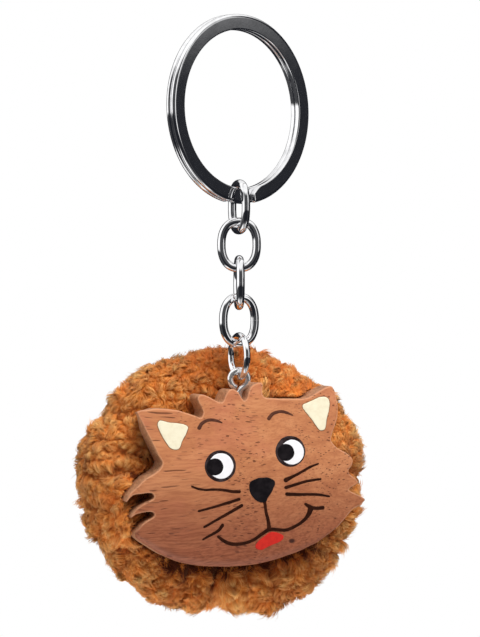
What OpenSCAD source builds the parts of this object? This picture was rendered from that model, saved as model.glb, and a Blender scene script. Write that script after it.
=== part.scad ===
/* [Split ring] */
// Outside diameter of the split ring
ring_od = 30.3; // [29.9:0.1:30.7]
// Width of the flat wire across the ring's face
ring_band = 2.5; // [2.4:0.05:2.55]
// Thickness of one turn of the ring's wire
ring_turn = 0.98; // [0.9:0.02:1]

/* [Chain] */
// Outside length of a chain link
link_len = 8.8; // [8.4:0.1:9.2]
// Outside width of a chain link
link_w = 7; // [6.6:0.1:7.4]
// Wire diameter of a chain link
link_wire = 1.35; // [1.2:0.05:1.4]
// Outside diameter of the round jump ring
jump_od = 7.7; // [7.3:0.1:8]
// Wire diameter of the jump ring
jump_wire = 1.1; // [1:0.05:1.2]

/* [Screw eye] */
// Outside diameter of the eye
eye_od = 3.9; // [3.6:0.1:4]
// Wire diameter of the eye
eye_wire = 1; // [0.9:0.05:1.1]
// Length of the threaded shank inside the wood
shank_len = 9; // [7:0.5:10]

/* [Wooden head] */
// Thickness of the wood at the middle of the domed face
wood_t = 8; // [7:0.5:9]
// Radius of the domed face
dome_r = 110; // [90:5:160]
// Thickness of the paint
paint_t = 0.12; // [0.08:0.02:0.2]

/* [Plush ring] */
// Radius of the circle down the middle of the plush tube
plush_r = 16.7; // [16.4:0.1:17]
// Outside radius of the plush tube
tube_r = 6.4; // [6.1:0.1:6.6]
// Thickness of the plush fabric with its pile
pile_t = 0.9; // [0.7:0.1:1.2]
// Gap between the wood's back and the plush tube
glue_gap = 0.2; // [0.2:0.1:0.6]

/* [Hidden] */

$fn = 64;
play = 0.05;            // play between two loops that hang in each other

// Headings: the direction, about Z, in which each loop is wide.
h_ring = 31;
h_1 = -80;
h_2 = -13;
h_3 = -98;
h_4 = 14;
h_jump = -80;

// Heights. Each loop's top is inside the loop above it.
ring_c = -0.35;         // middle of the split ring
ring_in = ring_od / 2 - ring_band;
top_1 = ring_c - ring_in + link_wire + play;
pitch = link_len - 2 * link_wire - play;
top_2 = top_1 - pitch;
top_3 = top_2 - pitch;
top_4 = top_3 - pitch;
top_jump = top_4 - link_len + link_wire + jump_wire + play;
top_eye = top_jump - jump_od + jump_wire + eye_wire + play;
eye_c = top_eye - eye_od / 2;
hole_r = 0.65;
hole_top = -45.5;
wood_hold = -46.9;      // bottom of the notch that the screw eye enters

// The wooden head. The face looks along -Y, its points are [x, z].
wood_back = wood_t / 2;
dome_c = [0.9, dome_r - wood_t / 2, -59.5];
HEAD = [
  [-17.1, -48.6], [-16.4, -48.35], [-15.4, -48.3], [-13.9, -48.1], [-12.1, -48.2], [-10.5, -48.4], [-8.9, -48.9],
  [-7.5, -49.4], [-6.9, -49.6], [-6.5, -48.8], [-6.8, -47.9], [-7.2, -47.1], [-7.35, -46.5], [-7.1, -46.0],
  [-6.5, -45.9], [-5.7, -46.2], [-4.8, -46.7], [-3.8, -47.2], [-3.3, -47.0], [-2.9, -46.1], [-2.5, -45.4],
  [-2.0, -45.1], [-1.5, -45.1], [-1.0, -45.4], [-0.6, -45.9], [-0.2, -46.6], [0.15, -46.9], [0.6, -46.5],
  [0.9, -45.5], [1.3, -44.7], [1.9, -44.3], [2.6, -44.1], [3.1, -44.1], [3.25, -44.6], [3.1, -45.4], [3.2, -46.1],
  [3.8, -46.5], [5.1, -46.6], [6.7, -46.7], [8.4, -46.7], [9.8, -46.7], [10.7, -46.5], [11.6, -46.05],
  [12.6, -45.5], [13.6, -45.0], [14.7, -44.7], [15.1, -45.1], [15.35, -45.7], [15.6, -46.9], [15.75, -48.0],
  [15.7, -49.0], [15.5, -50.1], [15.0, -51.4], [14.6, -52.5], [14.45, -53.1], [14.6, -53.6], [15.25, -54.4],
  [16.25, -55.0], [17.2, -55.5], [17.9, -56.1], [18.15, -56.6], [18.05, -57.3], [17.6, -57.9], [17.4, -58.3],
  [17.7, -58.9], [18.4, -59.4], [18.9, -59.85], [19.1, -60.3], [18.0, -60.9], [17.45, -61.3], [18.0, -61.7],
  [18.9, -62.1], [20.3, -62.9], [19.9, -63.5], [19.2, -64.0], [18.2, -64.5], [17.4, -65.3], [16.6, -66.2],
  [15.75, -67.2], [14.9, -67.85], [14.1, -68.5], [12.45, -69.7], [10.8, -70.5], [9.2, -71.2], [7.5, -71.75],
  [5.9, -72.25], [4.25, -72.65], [2.6, -73.0], [0.95, -73.2], [-0.7, -73.3], [-2.3, -73.35], [-3.95, -73.3],
  [-5.6, -73.25], [-7.2, -73.1], [-8.9, -72.8], [-10.5, -72.4], [-12.15, -71.7], [-13.8, -70.8], [-15.4, -69.75],
  [-16.6, -68.95], [-17.1, -68.5], [-17.25, -67.85], [-17.1, -67.4], [-16.75, -67.0], [-16.3, -66.4],
  [-15.5, -65.8], [-14.8, -65.4], [-14.4, -65.1], [-14.35, -64.7], [-14.7, -64.4], [-15.5, -64.4],
  [-16.6, -64.6], [-17.3, -64.85], [-18.0, -65.3], [-17.7, -64.6], [-17.1, -63.9], [-16.3, -63.3],
  [-15.2, -62.7], [-14.5, -62.3], [-14.4, -61.8], [-14.8, -61.4], [-15.6, -61.4], [-16.6, -61.55],
  [-17.4, -61.65], [-18.0, -62.0], [-18.7, -62.8], [-18.4, -61.9], [-17.9, -61.2], [-17.1, -60.5],
  [-16.3, -59.7], [-15.4, -58.95], [-14.6, -58.5], [-13.8, -57.9], [-13.3, -57.3], [-13.1, -56.6],
  [-13.8, -55.3], [-14.6, -53.6], [-15.4, -52.0], [-16.3, -50.2], [-16.95, -48.95]
];

// Painted shapes, [x, z]
NOSE = [[0.75, -60.2], [0.95, -59.75], [1.45, -59.45], [2.1, -59.2], [2.9, -59.1], [3.75, -59.1], [4.4, -59.35],
        [4.85, -59.65], [4.95, -60.2], [4.7, -60.8], [4.4, -61.45], [4.05, -61.95], [3.75, -62.4], [3.55, -62.9],
        [3.1, -63.05], [2.45, -63.0], [1.8, -62.65], [1.3, -62.15], [0.95, -61.6], [0.75, -60.9]];
TONGUE = [[4.25, -67.9], [5.1, -67.9], [5.9, -68.15], [6.45, -68.5], [6.35, -69.0], [5.7, -69.45], [4.7, -69.85],
          [3.75, -70.25], [2.95, -70.65], [2.3, -70.55], [1.9, -70.25], [1.95, -69.7], [2.6, -69.05], [3.3, -68.5]];
EAR_L = [[-13.5, -50.0], [-13.1, -50.0], [-12.0, -50.3], [-10.7, -50.4], [-9.55, -50.65], [-9.05, -51.05],
         [-9.15, -51.55], [-9.5, -52.35], [-10.0, -53.2], [-10.3, -54.1], [-10.65, -54.5], [-11.2, -54.55],
         [-11.9, -54.25], [-12.6, -53.3], [-13.25, -52.15], [-13.75, -50.95], [-13.8, -50.4]];
EAR_R = [[9.75, -48.1], [9.8, -47.6], [10.65, -47.25], [11.8, -46.75], [12.6, -46.45], [13.5, -46.4],
         [14.1, -46.7], [14.3, -47.35], [14.15, -48.5], [13.75, -49.9], [13.45, -51.35], [13.1, -51.7],
         [12.6, -51.7], [12.15, -51.3], [11.15, -49.9], [10.15, -48.7]];
EYES = [[[-3.85, -57.4], 2.48], [[7.6, -55.05], 2.44]];
WHITES = [[[-3.75, -57.4], 2.12], [[7.85, -55.2], 2.04]];
PUPILS = [[[-4.8, -57.6], 1.32], [[6.85, -55.25], 1.3]];

// Brush strokes: the width at the first and the last point, then the points
MOUTH = [
  [0.5, 0.6, [[3.3, -63.15], [3.5, -64.5], [3.9, -66.1], [4.0, -66.75]]],
  [0.7, 0.45, [[10.8, -64.65], [10.6, -65.1], [10.15, -65.7], [9.5, -66.3], [8.7, -66.8], [7.5, -67.35],
               [6.7, -67.55], [5.9, -67.5], [5.1, -67.4], [4.05, -67.45], [2.95, -68.05], [1.8, -68.85],
               [0.95, -69.25], [0.1, -69.5], [-1.0, -69.65], [-2.0, -69.6], [-2.8, -69.35], [-3.5, -68.95],
               [-4.1, -68.5]]],
  [0.6, 0.35, [[-3.55, -66.65], [-4.05, -67.3], [-4.75, -67.8], [-5.55, -68.2], [-6.6, -68.8]]],
  [0.5, 0.6, [[10.05, -63.45], [10.8, -63.9], [11.8, -64.15], [13.0, -64.1]]]
];
WHISKERS = [
  [0.35, 0.5, [[-8.45, -60.5], [-7.5, -60.8], [-6.3, -60.95], [-4.8, -60.9], [-3.15, -61.05], [-2.0, -61.25],
                [-0.85, -61.3]]],
  [0.35, 0.5, [[-7.4, -64.3], [-5.4, -63.8], [-3.1, -63.15], [-0.9, -62.55]]],
  [0.37, 0.5, [[-6.45, -66.85], [-4.7, -65.85], [-2.6, -64.7], [-0.5, -63.5]]],
  [0.7, 0.3, [[6.7, -59.5], [7.85, -59.05], [9.2, -58.4], [10.8, -57.55], [12.2, -57.05]]],
  [0.5, 0.33, [[6.7, -60.7], [8.35, -60.3], [10.0, -59.85], [11.65, -59.6], [12.6, -59.5]]],
  [0.55, 0.3, [[6.95, -61.8], [9.15, -61.9], [10.8, -61.9], [12.45, -62.0], [14.1, -62.3]]]
];
BROWS = [
  [0.6, 0.25, [[-7.35, -51.35], [-6.95, -50.7], [-6.25, -50.25], [-5.45, -50.1], [-4.45, -50.25], [-3.65, -50.55]]],
  [0.6, 0.25, [[4.05, -49.75], [4.5, -49.2], [5.05, -48.85], [6.05, -48.65], [7.05, -48.85], [8.0, -49.25]]]
];

// The plush ring
plush_c = [-0.9, wood_back + glue_gap + tube_r, -60.2];
seam_gap = 0.4;
stitch_n = 30;
BEADS = [[-13.4, -50.0], [12.6, -49.0], [16.3, -58.2], [-14.6, -67.9], [14.2, -66.6]];

// Direction of a stroke at its point i, and one side of the stroke
function unit(v) = v / norm(v);
function dir(p, i) = unit(p[min(i + 1, len(p) - 1)] - p[max(i - 1, 0)]);
function side(s, k) = [for (i = [0:len(s[2]) - 1])
    let (d = dir(s[2], i), w = s[0] + (s[1] - s[0]) * i / (len(s[2]) - 1))
    s[2][i] + k * w / 2 * [-d[1], d[0]]];
// The round end of a stroke at its point i, k is 1 at the far end and -1 at the near end
function cap(s, i, w, k) = let (d = k * dir(s[2], i), n = [-d[1], d[0]])
    [for (a = [60, 30, 0, -30, -60]) s[2][i] + w / 2 * (cos(a) * d + sin(a) * n)];
function flip(l) = [for (i = [len(l) - 1:-1:0]) l[i]];

// Stands a loop drawn in X and Y upright, wide along its heading
module upright(h) rotate([0, 0, h]) rotate([90, 0, 0]) children();

module turn_section(w, inset = 0) {
  // one turn of flat wire with rounded corners, w is the middle of its thickness
  r = 0.32;
  x0 = ring_in + inset;
  x1 = ring_od / 2 - inset;
  union() {
    translate([x0 + r, w - ring_turn / 2]) square([x1 - x0 - 2 * r, ring_turn]);
    translate([x0, w - ring_turn / 2 + r]) square([x1 - x0, ring_turn - 2 * r]);
    for (x = [x0 + r, x1 - r], y = [w - ring_turn / 2 + r, w + ring_turn / 2 - r])
      translate([x, y]) circle(r, $fn = 32);
  }
}

module split_ring() color("silver") translate([0, 0, ring_c]) rotate([0, 0, h_ring]) {
  // front turn, back turn, and the slightly slimmer stretch that crosses from one to the other at the bottom
  rotate([90, 0, 0]) rotate_extrude(angle = 342.5, start = -80, $fn = 128) turn_section(0.51);
  rotate([90, 0, 0]) rotate_extrude(angle = 342.5, start = -82.5, $fn = 128) turn_section(-0.51);
  rotate([0, 0, 13.3]) rotate([90, 0, 0]) rotate_extrude(angle = 19, start = -99.5, $fn = 128) turn_section(0, 0.06);
}

module oval_link(h, top) {
  r = link_wire / 2;
  bend = link_w / 2 - r;
  up = top - link_w / 2;
  low = top - link_len + link_w / 2;
  difference() {
    union() {
      // the bends are drawn down by a hair, so that each leg closes cleanly over their ends
      translate([0, 0, up]) upright(h) rotate_extrude(angle = 180) translate([bend, 0]) circle(r - 0.015);
      translate([0, 0, low]) upright(h) rotate_extrude(angle = 180, start = 180) translate([bend, 0]) circle(r - 0.015);
      rotate([0, 0, h]) for (s = [-1, 1]) translate([s * bend, 0, low - 0.15]) cylinder(h = up - low + 0.3, r = r);
    }
    // the butt where the wire's two ends meet
    rotate([0, 0, h]) translate([bend - 1, -1, (up + low) / 2 - 0.03]) cube([2, 2, 0.06]);
  }
}

module chain_link_1() color("silver") oval_link(h_1, top_1);
module chain_link_2() color("silver") oval_link(h_2, top_2);
module chain_link_3() color("silver") oval_link(h_3, top_3);
module chain_link_4() color("silver") oval_link(h_4, top_4);

module jump_ring() color("silver") {
  r = jump_wire / 2;
  difference() {
    translate([0, 0, top_jump - jump_od / 2]) upright(h_jump) rotate_extrude() translate([jump_od / 2 - r, 0]) circle(r);
    rotate([0, 0, h_jump]) translate([jump_od / 2 - r - 1, -1, top_jump - jump_od / 2 - 0.03]) cube([2, 2, 0.06]);
  }
}

module screw_eye() color("silver") {
  r = eye_wire / 2;
  tip = wood_hold - shank_len;
  core = r - 0.1;
  major = hole_r - 0.03;
  teeth = 9;
  step = (shank_len - 2.2) / teeth;
  translate([0, 0, eye_c]) upright(0) rotate_extrude() translate([eye_od / 2 - r, 0]) circle(r);
  translate([0, 0, wood_hold - 1.2]) cylinder(h = eye_c - eye_od / 2 + r / 2 - wood_hold + 1.2, r = r);
  // the thread's ridges and the point, as one turned profile
  rotate_extrude() polygon(concat(
    [[0, wood_hold - 1.2], [core, wood_hold - 1.2]],
    [for (i = [0:teeth - 1], k = [0:1])
      k == 0 ? [core, wood_hold - 1.2 - i * step - 0.05] : [major - 0.01 * i, wood_hold - 1.2 - (i + 0.55) * step]],
    [[core, tip + 0.95], [0, tip]]));
}

module wooden_head() color([0.72, 0.48, 0.34]) difference() {
  intersection() {
    translate([0, wood_back, 0]) rotate([90, 0, 0]) linear_extrude(wood_t + 0.5) polygon(HEAD);
    translate(dome_c) sphere(dome_r, $fn = 200);
  }
  translate([0, 0, wood_hold - shank_len - 0.2]) cylinder(h = hole_top - wood_hold + shank_len + 0.2, r = hole_r);
  // room for the eye where it sits down between the two tufts
  translate([0, eye_wire / 2 + 0.06, eye_c]) rotate([90, 0, 0]) cylinder(h = eye_wire + 0.12, r = eye_od / 2 + 0.08);
}

// A coat of paint that follows the domed face, in the shape of its child
module paint() intersection() {
  rotate([90, 0, 0]) linear_extrude(wood_t) children();
  difference() {
    translate(dome_c) sphere(dome_r + paint_t, $fn = 200);
    translate(dome_c) sphere(dome_r, $fn = 200);
  }
}

module disc(c) translate(c[0]) circle(c[1]);
module stroke(s) polygon(concat(side(s, 1), cap(s, len(s[2]) - 1, s[1], 1), flip(side(s, -1)), cap(s, 0, s[0], -1)));

module eye_outlines() color([0.1, 0.06, 0.05]) for (i = [0, 1])
  paint() difference() { disc(EYES[i]); disc(WHITES[i]); disc(PUPILS[i]); }
module eye_whites() color("white") for (i = [0, 1])
  paint() difference() { intersection() { disc(WHITES[i]); disc(EYES[i]); } disc(PUPILS[i]); }
module pupils() color("black") for (i = [0, 1]) paint() disc(PUPILS[i]);
module nose() color([0.08, 0.07, 0.08]) paint() polygon(NOSE);
module ear_patches() color([1, 0.98, 0.86]) { paint() polygon(EAR_L); paint() polygon(EAR_R); }
module tongue() color([0.78, 0.17, 0.15]) paint() polygon(TONGUE);
module mouth_lines() color([0.2, 0.1, 0.06]) for (s = MOUTH) paint() stroke(s);
module whiskers() color([0.22, 0.1, 0.05]) for (s = WHISKERS) paint() stroke(s);
module eyebrows() color([0.35, 0.2, 0.15]) for (s = BROWS) paint() stroke(s);

// The plush ring lies behind the head, round an axis along Y
module round_y() translate(plush_c) rotate([90, 0, 0]) children();

module plush_cover() color([0.74, 0.43, 0.14]) round_y() rotate_extrude($fn = 128) translate([plush_r, 0])
  difference() {
    circle(tube_r);
    circle(tube_r - pile_t);
    translate([-tube_r - 1, -seam_gap / 2]) square([tube_r, seam_gap]);
  }

module ring_filling() color([0.94, 0.92, 0.88]) round_y() rotate_extrude($fn = 128) translate([plush_r, 0])
  circle(tube_r - pile_t - 0.1);

// Hand stitches across the seam, on the side of the tube that faces the ring's middle
module seam_stitches() color([0.6, 0.35, 0.12]) for (i = [0:stitch_n - 1])
  round_y() rotate(360 * (i + 0.5) / stitch_n) translate([plush_r - tube_r - 0.24, 0, -0.9]) cylinder(h = 1.8, r = 0.2);

// Drops of clear glue between the wood and the plush
module glue_beads() color([0.9, 0.88, 0.8]) difference() {
  for (b = BEADS) translate([b[0], wood_back, b[1]]) rotate([-90, 0, 0]) cylinder(h = 0.9, r = 1.1);
  round_y() rotate_extrude($fn = 128) translate([plush_r, 0]) circle(tube_r);
}

split_ring();
chain_link_1();
chain_link_2();
chain_link_3();
chain_link_4();
jump_ring();
screw_eye();
wooden_head();
plush_cover();
ring_filling();
seam_stitches();
glue_beads();
eye_outlines();
eye_whites();
pupils();
nose();
ear_patches();
tongue();
mouth_lines();
whiskers();
eyebrows();
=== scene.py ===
# Looks of the plush keychain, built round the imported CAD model. Lengths are in millimetres until a mesh is made.
import math

import bpy
import numpy as np
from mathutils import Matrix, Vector
from mathutils.geometry import delaunay_2d_cdt


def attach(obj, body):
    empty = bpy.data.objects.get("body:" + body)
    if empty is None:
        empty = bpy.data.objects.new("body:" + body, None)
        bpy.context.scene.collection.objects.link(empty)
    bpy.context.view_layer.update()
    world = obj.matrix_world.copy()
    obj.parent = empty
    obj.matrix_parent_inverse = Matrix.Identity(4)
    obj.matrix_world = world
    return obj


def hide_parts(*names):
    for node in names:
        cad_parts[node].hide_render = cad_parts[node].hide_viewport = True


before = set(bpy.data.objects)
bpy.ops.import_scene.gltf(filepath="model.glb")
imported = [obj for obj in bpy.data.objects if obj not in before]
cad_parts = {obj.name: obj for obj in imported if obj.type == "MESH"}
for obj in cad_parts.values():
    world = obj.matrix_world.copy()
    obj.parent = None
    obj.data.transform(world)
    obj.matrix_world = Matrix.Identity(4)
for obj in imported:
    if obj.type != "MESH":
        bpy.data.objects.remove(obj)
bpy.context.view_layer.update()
scene = bpy.context.scene
MM = 0.001
TAU = 2 * math.pi


# ---------------------------------------------------------------- camera
AZ = math.radians(-13)
DIST = 450.0
FRAME_H = 101.92
back = np.array([math.sin(AZ), -math.cos(AZ), 0.0])
right = np.array([math.cos(AZ), math.sin(AZ), 0.0])
target = right * 0.15 + np.array([0, 0, -33.84])
cam_data = bpy.data.cameras.new("camera")
cam = bpy.data.objects.new("camera", cam_data)
scene.collection.objects.link(cam)
cam_data.sensor_width = 36
cam_data.lens = DIST * 36 / FRAME_H
cam_data.clip_start, cam_data.clip_end = 0.01, 20
cam.location = Vector((target + back * DIST) * MM)
cam.rotation_mode = "QUATERNION"
cam.rotation_quaternion = Vector(-back).to_track_quat("-Z", "Y")
scene.camera = cam
scene.view_settings.view_transform = "Standard"
scene.view_settings.look = "None"


# ---------------------------------------------------------------- small tools
def smooth(a, b, x):
    t = np.clip((x - a) / (b - a), 0, 1)
    return t * t * (3 - 2 * t)


def hashed(ix, iy, iz, seed):
    h = (ix.astype(np.int64) * 73856093) ^ (iy.astype(np.int64) * 19349663) ^ (iz.astype(np.int64) * 83492791) ^ (seed * 2654435761)
    h = (h ^ (h >> 13)) * 1274126177 & 0xFFFFFFFF
    h = (h ^ (h >> 16)) * 2246822519 & 0xFFFFFFFF
    return ((h ^ (h >> 15)) & 0xFFFFFF) / float(0xFFFFFF)


def value_noise(p, scale, seed=0):
    """Smooth noise from -1 to 1 at points p, with bumps about scale wide."""
    q = np.asarray(p, float) / scale
    i = np.floor(q).astype(np.int64)
    f = q - i
    f = f * f * (3 - 2 * f)
    total = 0
    for dx in (0, 1):
        for dy in (0, 1):
            for dz in (0, 1):
                w = (f[:, 0] if dx else 1 - f[:, 0]) * (f[:, 1] if dy else 1 - f[:, 1]) * (f[:, 2] if dz else 1 - f[:, 2])
                total = total + w * hashed(i[:, 0] + dx, i[:, 1] + dy, i[:, 2] + dz, seed)
    return total * 2 - 1


def fbm(p, scale, octaves=3, seed=0):
    total, amp, s = 0, 1.0, scale
    for k in range(octaves):
        total = total + amp * value_noise(p, s, seed + 17 * k)
        amp *= 0.5
        s *= 0.5
    return total / 1.75


def make_mesh(name, verts, faces, material, body, smooth_faces=True, replaces=()):
    """A mesh object in the row frame from points in mm and a list of faces or an array of triangles or quads."""
    me = bpy.data.meshes.new(name)
    verts = np.asarray(verts, float) * MM
    if isinstance(faces, np.ndarray):
        n, k = faces.shape
        me.vertices.add(len(verts))
        me.vertices.foreach_set("co", verts.astype(np.float32).ravel())
        me.loops.add(n * k)
        me.loops.foreach_set("vertex_index", faces.astype(np.int32).ravel())
        me.polygons.add(n)
        me.polygons.foreach_set("loop_start", (np.arange(n) * k).astype(np.int32))
        me.polygons.foreach_set("loop_total", np.full(n, k, np.int32))
        me.update(calc_edges=True)
    else:
        me.from_pydata([tuple(v) for v in verts], [], faces)
        me.update()
    if smooth_faces:
        me.polygons.foreach_set("use_smooth", np.ones(len(me.polygons), bool))
    me.validate()
    ob = bpy.data.objects.new(name, me)
    scene.collection.objects.link(ob)
    ob.data.materials.append(material)
    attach(ob, body)
    if replaces:
        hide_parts(*replaces)
    return ob


def sweep(path, frames, section, closed=False, scale=None):
    """Rings of a section (k x 2) carried along path (n x 3), frames gives two axes at each point. Returns points and quads, capped if open."""
    path = np.asarray(path, float)
    n, k = len(path), len(section)
    scale = np.ones(n) if scale is None else np.asarray(scale, float)
    u, v = frames
    pts = (
        path[:, None, :]
        + u[:, None, :] * (section[None, :, 0:1] * scale[:, None, None])
        + v[:, None, :] * (section[None, :, 1:2] * scale[:, None, None])
    ).reshape(-1, 3)
    faces = []
    last = n if closed else n - 1
    for i in range(last):
        a, b = i * k, ((i + 1) % n) * k
        for j in range(k):
            j2 = (j + 1) % k
            faces.append((a + j, a + j2, b + j2, b + j))
    if not closed:
        faces.append(tuple(reversed(range(k))))
        faces.append(tuple(range((n - 1) * k, n * k)))
    return pts, faces


# ---------------------------------------------------------------- materials
class Nodes:
    def __init__(self, name):
        self.mat = bpy.data.materials.new(name)
        self.mat.use_nodes = True
        self.nt = self.mat.node_tree
        self.nt.nodes.clear()
        self.out = self.nt.nodes.new("ShaderNodeOutputMaterial")
        self.bsdf = self.nt.nodes.new("ShaderNodeBsdfPrincipled")
        self.nt.links.new(self.bsdf.outputs[0], self.out.inputs["Surface"])

    def add(self, kind, **values):
        node = self.nt.nodes.new(kind)
        for k, v in values.items():
            if hasattr(node, k) and not k.startswith("in_"):
                setattr(node, k, v)
        return node

    def link(self, a, b):
        self.nt.links.new(a, b)

    def put(self, sock, value):
        if isinstance(value, bpy.types.NodeSocket):
            self.nt.links.new(value, sock)
        else:
            sock.default_value = value

    def math(self, op, a, b=0.0, c=0.0, clamp=False):
        node = self.nt.nodes.new("ShaderNodeMath")
        node.operation = op
        node.use_clamp = clamp
        for s, v in zip(node.inputs, (a, b, c)):
            self.put(s, v)
        return node.outputs[0]

    def vec(self, op, a, b=(0, 0, 0)):
        node = self.nt.nodes.new("ShaderNodeVectorMath")
        node.operation = op
        self.put(node.inputs[0], a)
        if op == "SCALE":
            self.put(node.inputs["Scale"], b)
        else:
            self.put(node.inputs[1], b)
        return node.outputs["Value"] if op in ("DOT_PRODUCT", "LENGTH", "DISTANCE") else node.outputs["Vector"]

    def mm(self):
        """Object coordinates in millimetres."""
        t = self.nt.nodes.new("ShaderNodeTexCoord")
        return self.vec("SCALE", t.outputs["Object"], 1000.0)

    def combine(self, x, y, z):
        node = self.nt.nodes.new("ShaderNodeCombineXYZ")
        for s, v in zip(node.inputs, (x, y, z)):
            self.put(s, v)
        return node.outputs[0]

    def separate(self, v):
        node = self.nt.nodes.new("ShaderNodeSeparateXYZ")
        self.put(node.inputs[0], v)
        return node.outputs

    def noise(self, vector, scale, detail=2.0, rough=0.5, distortion=0.0):
        node = self.nt.nodes.new("ShaderNodeTexNoise")
        self.put(node.inputs["Vector"], vector)
        node.inputs["Scale"].default_value = scale
        node.inputs["Detail"].default_value = detail
        node.inputs["Roughness"].default_value = rough
        node.inputs["Distortion"].default_value = distortion
        return node

    def voronoi(self, vector, scale=1.0, randomness=1.0, feature="F1"):
        node = self.nt.nodes.new("ShaderNodeTexVoronoi")
        node.feature = feature
        self.put(node.inputs["Vector"], vector)
        node.inputs["Scale"].default_value = scale
        node.inputs["Randomness"].default_value = randomness
        return node

    def ramp(self, fac, stops, mode="LINEAR"):
        node = self.nt.nodes.new("ShaderNodeValToRGB")
        node.color_ramp.interpolation = mode
        e = node.color_ramp.elements
        while len(e) < len(stops):
            e.new(0.5)
        for el, (pos, col) in zip(e, stops):
            el.position = pos
            el.color = (*col, 1) if len(col) == 3 else col
        self.put(node.inputs[0], fac)
        return node.outputs[0]

    def map(self, v, a, b, c=0.0, d=1.0, smoothstep=True):
        node = self.nt.nodes.new("ShaderNodeMapRange")
        node.interpolation_type = "SMOOTHSTEP" if smoothstep else "LINEAR"
        for s, x in zip(node.inputs, (v, a, b, c, d)):
            self.put(s, x)
        return node.outputs[0]

    def mix(self, fac, a, b, blend="MIX"):
        node = self.nt.nodes.new("ShaderNodeMix")
        node.data_type = "RGBA"
        node.blend_type = blend
        self.put(node.inputs[0], fac)
        self.put(node.inputs[6], (*a, 1) if isinstance(a, tuple) and len(a) == 3 else a)
        self.put(node.inputs[7], (*b, 1) if isinstance(b, tuple) and len(b) == 3 else b)
        return node.outputs[2]

    def bump(self, height, strength, distance, normal=None):
        node = self.nt.nodes.new("ShaderNodeBump")
        node.inputs["Strength"].default_value = strength
        node.inputs["Distance"].default_value = distance
        self.put(node.inputs["Height"], height)
        if normal is not None:
            self.put(node.inputs["Normal"], normal)
        return node.outputs[0]

    def set(self, **values):
        for k, v in values.items():
            self.put(self.bsdf.inputs[k.replace("_", " ")], v)


def srgb(r, g, b):
    f = lambda c: (c / 255 / 12.92) if c / 255 <= 0.04045 else ((c / 255 + 0.055) / 1.055) ** 2.4
    return (f(r), f(g), f(b))


def chrome(name, tint, rough, metal=1.0):
    m = Nodes(name)
    p = m.mm()
    grain = m.noise(p, 0.8, 3, 0.6).outputs[0]
    fine = m.noise(m.vec("MULTIPLY", p, (7.0, 7.0, 7.0)), 1.0, 3, 0.65).outputs[0]
    col = m.mix(m.map(grain, 0.35, 0.75), tint, tuple(c * 0.84 for c in tint))
    m.set(Base_Color=col)
    m.bsdf.inputs["Metallic"].default_value = metal
    m.set(Roughness=m.map(fine, 0.3, 0.8, rough * 0.7, rough * 1.6))
    m.set(Normal=m.bump(m.math("ADD", m.math("MULTIPLY", fine, 0.10), grain), 0.10, 0.00002))
    return m.mat


MAT_RING = chrome("ring_chrome", (0.95, 0.95, 0.96), 0.055)
MAT_CHAIN = chrome("chain_chrome", (0.95, 0.95, 0.96), 0.05)
MAT_EYE = chrome("eye_steel", (0.96, 0.95, 0.94), 0.13, 0.86)


# The wood's fibres run nearly along X and dive slowly into the face towards its right side, so that pores show as long
# streaks on the left and as short dots on the right.
FIBRE = np.array([math.cos(math.radians(12)), -math.sin(math.radians(12)), 0.05])
FIBRE /= np.linalg.norm(FIBRE)
RADIAL = np.cross(FIBRE, (0, 1, 0))
RADIAL /= np.linalg.norm(RADIAL)
DEPTH = np.cross(RADIAL, FIBRE)


def wood_coords(m):
    p = m.mm()
    wob = m.noise(p, 0.09, 2, 0.5)
    wob = m.vec("SCALE", m.vec("SUBTRACT", wob.outputs["Color"], (0.5, 0.5, 0.5)), 2.4)
    q = m.vec("ADD", p, wob)
    a = m.vec("DOT_PRODUCT", q, tuple(FIBRE))
    b = m.vec("DOT_PRODUCT", q, tuple(RADIAL))
    c = m.vec("DOT_PRODUCT", q, tuple(DEPTH))
    # towards the right the fibres dive ever more steeply into the face
    dive = m.math("ADD", m.math("MULTIPLY", a, 0.03), m.math("MULTIPLY", m.math("ADD", a, m.math("SQRT", m.math("ADD", m.math("MULTIPLY", a, a), 36.0))), 0.075))
    return p, a, b, m.math("ADD", c, dive)


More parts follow.
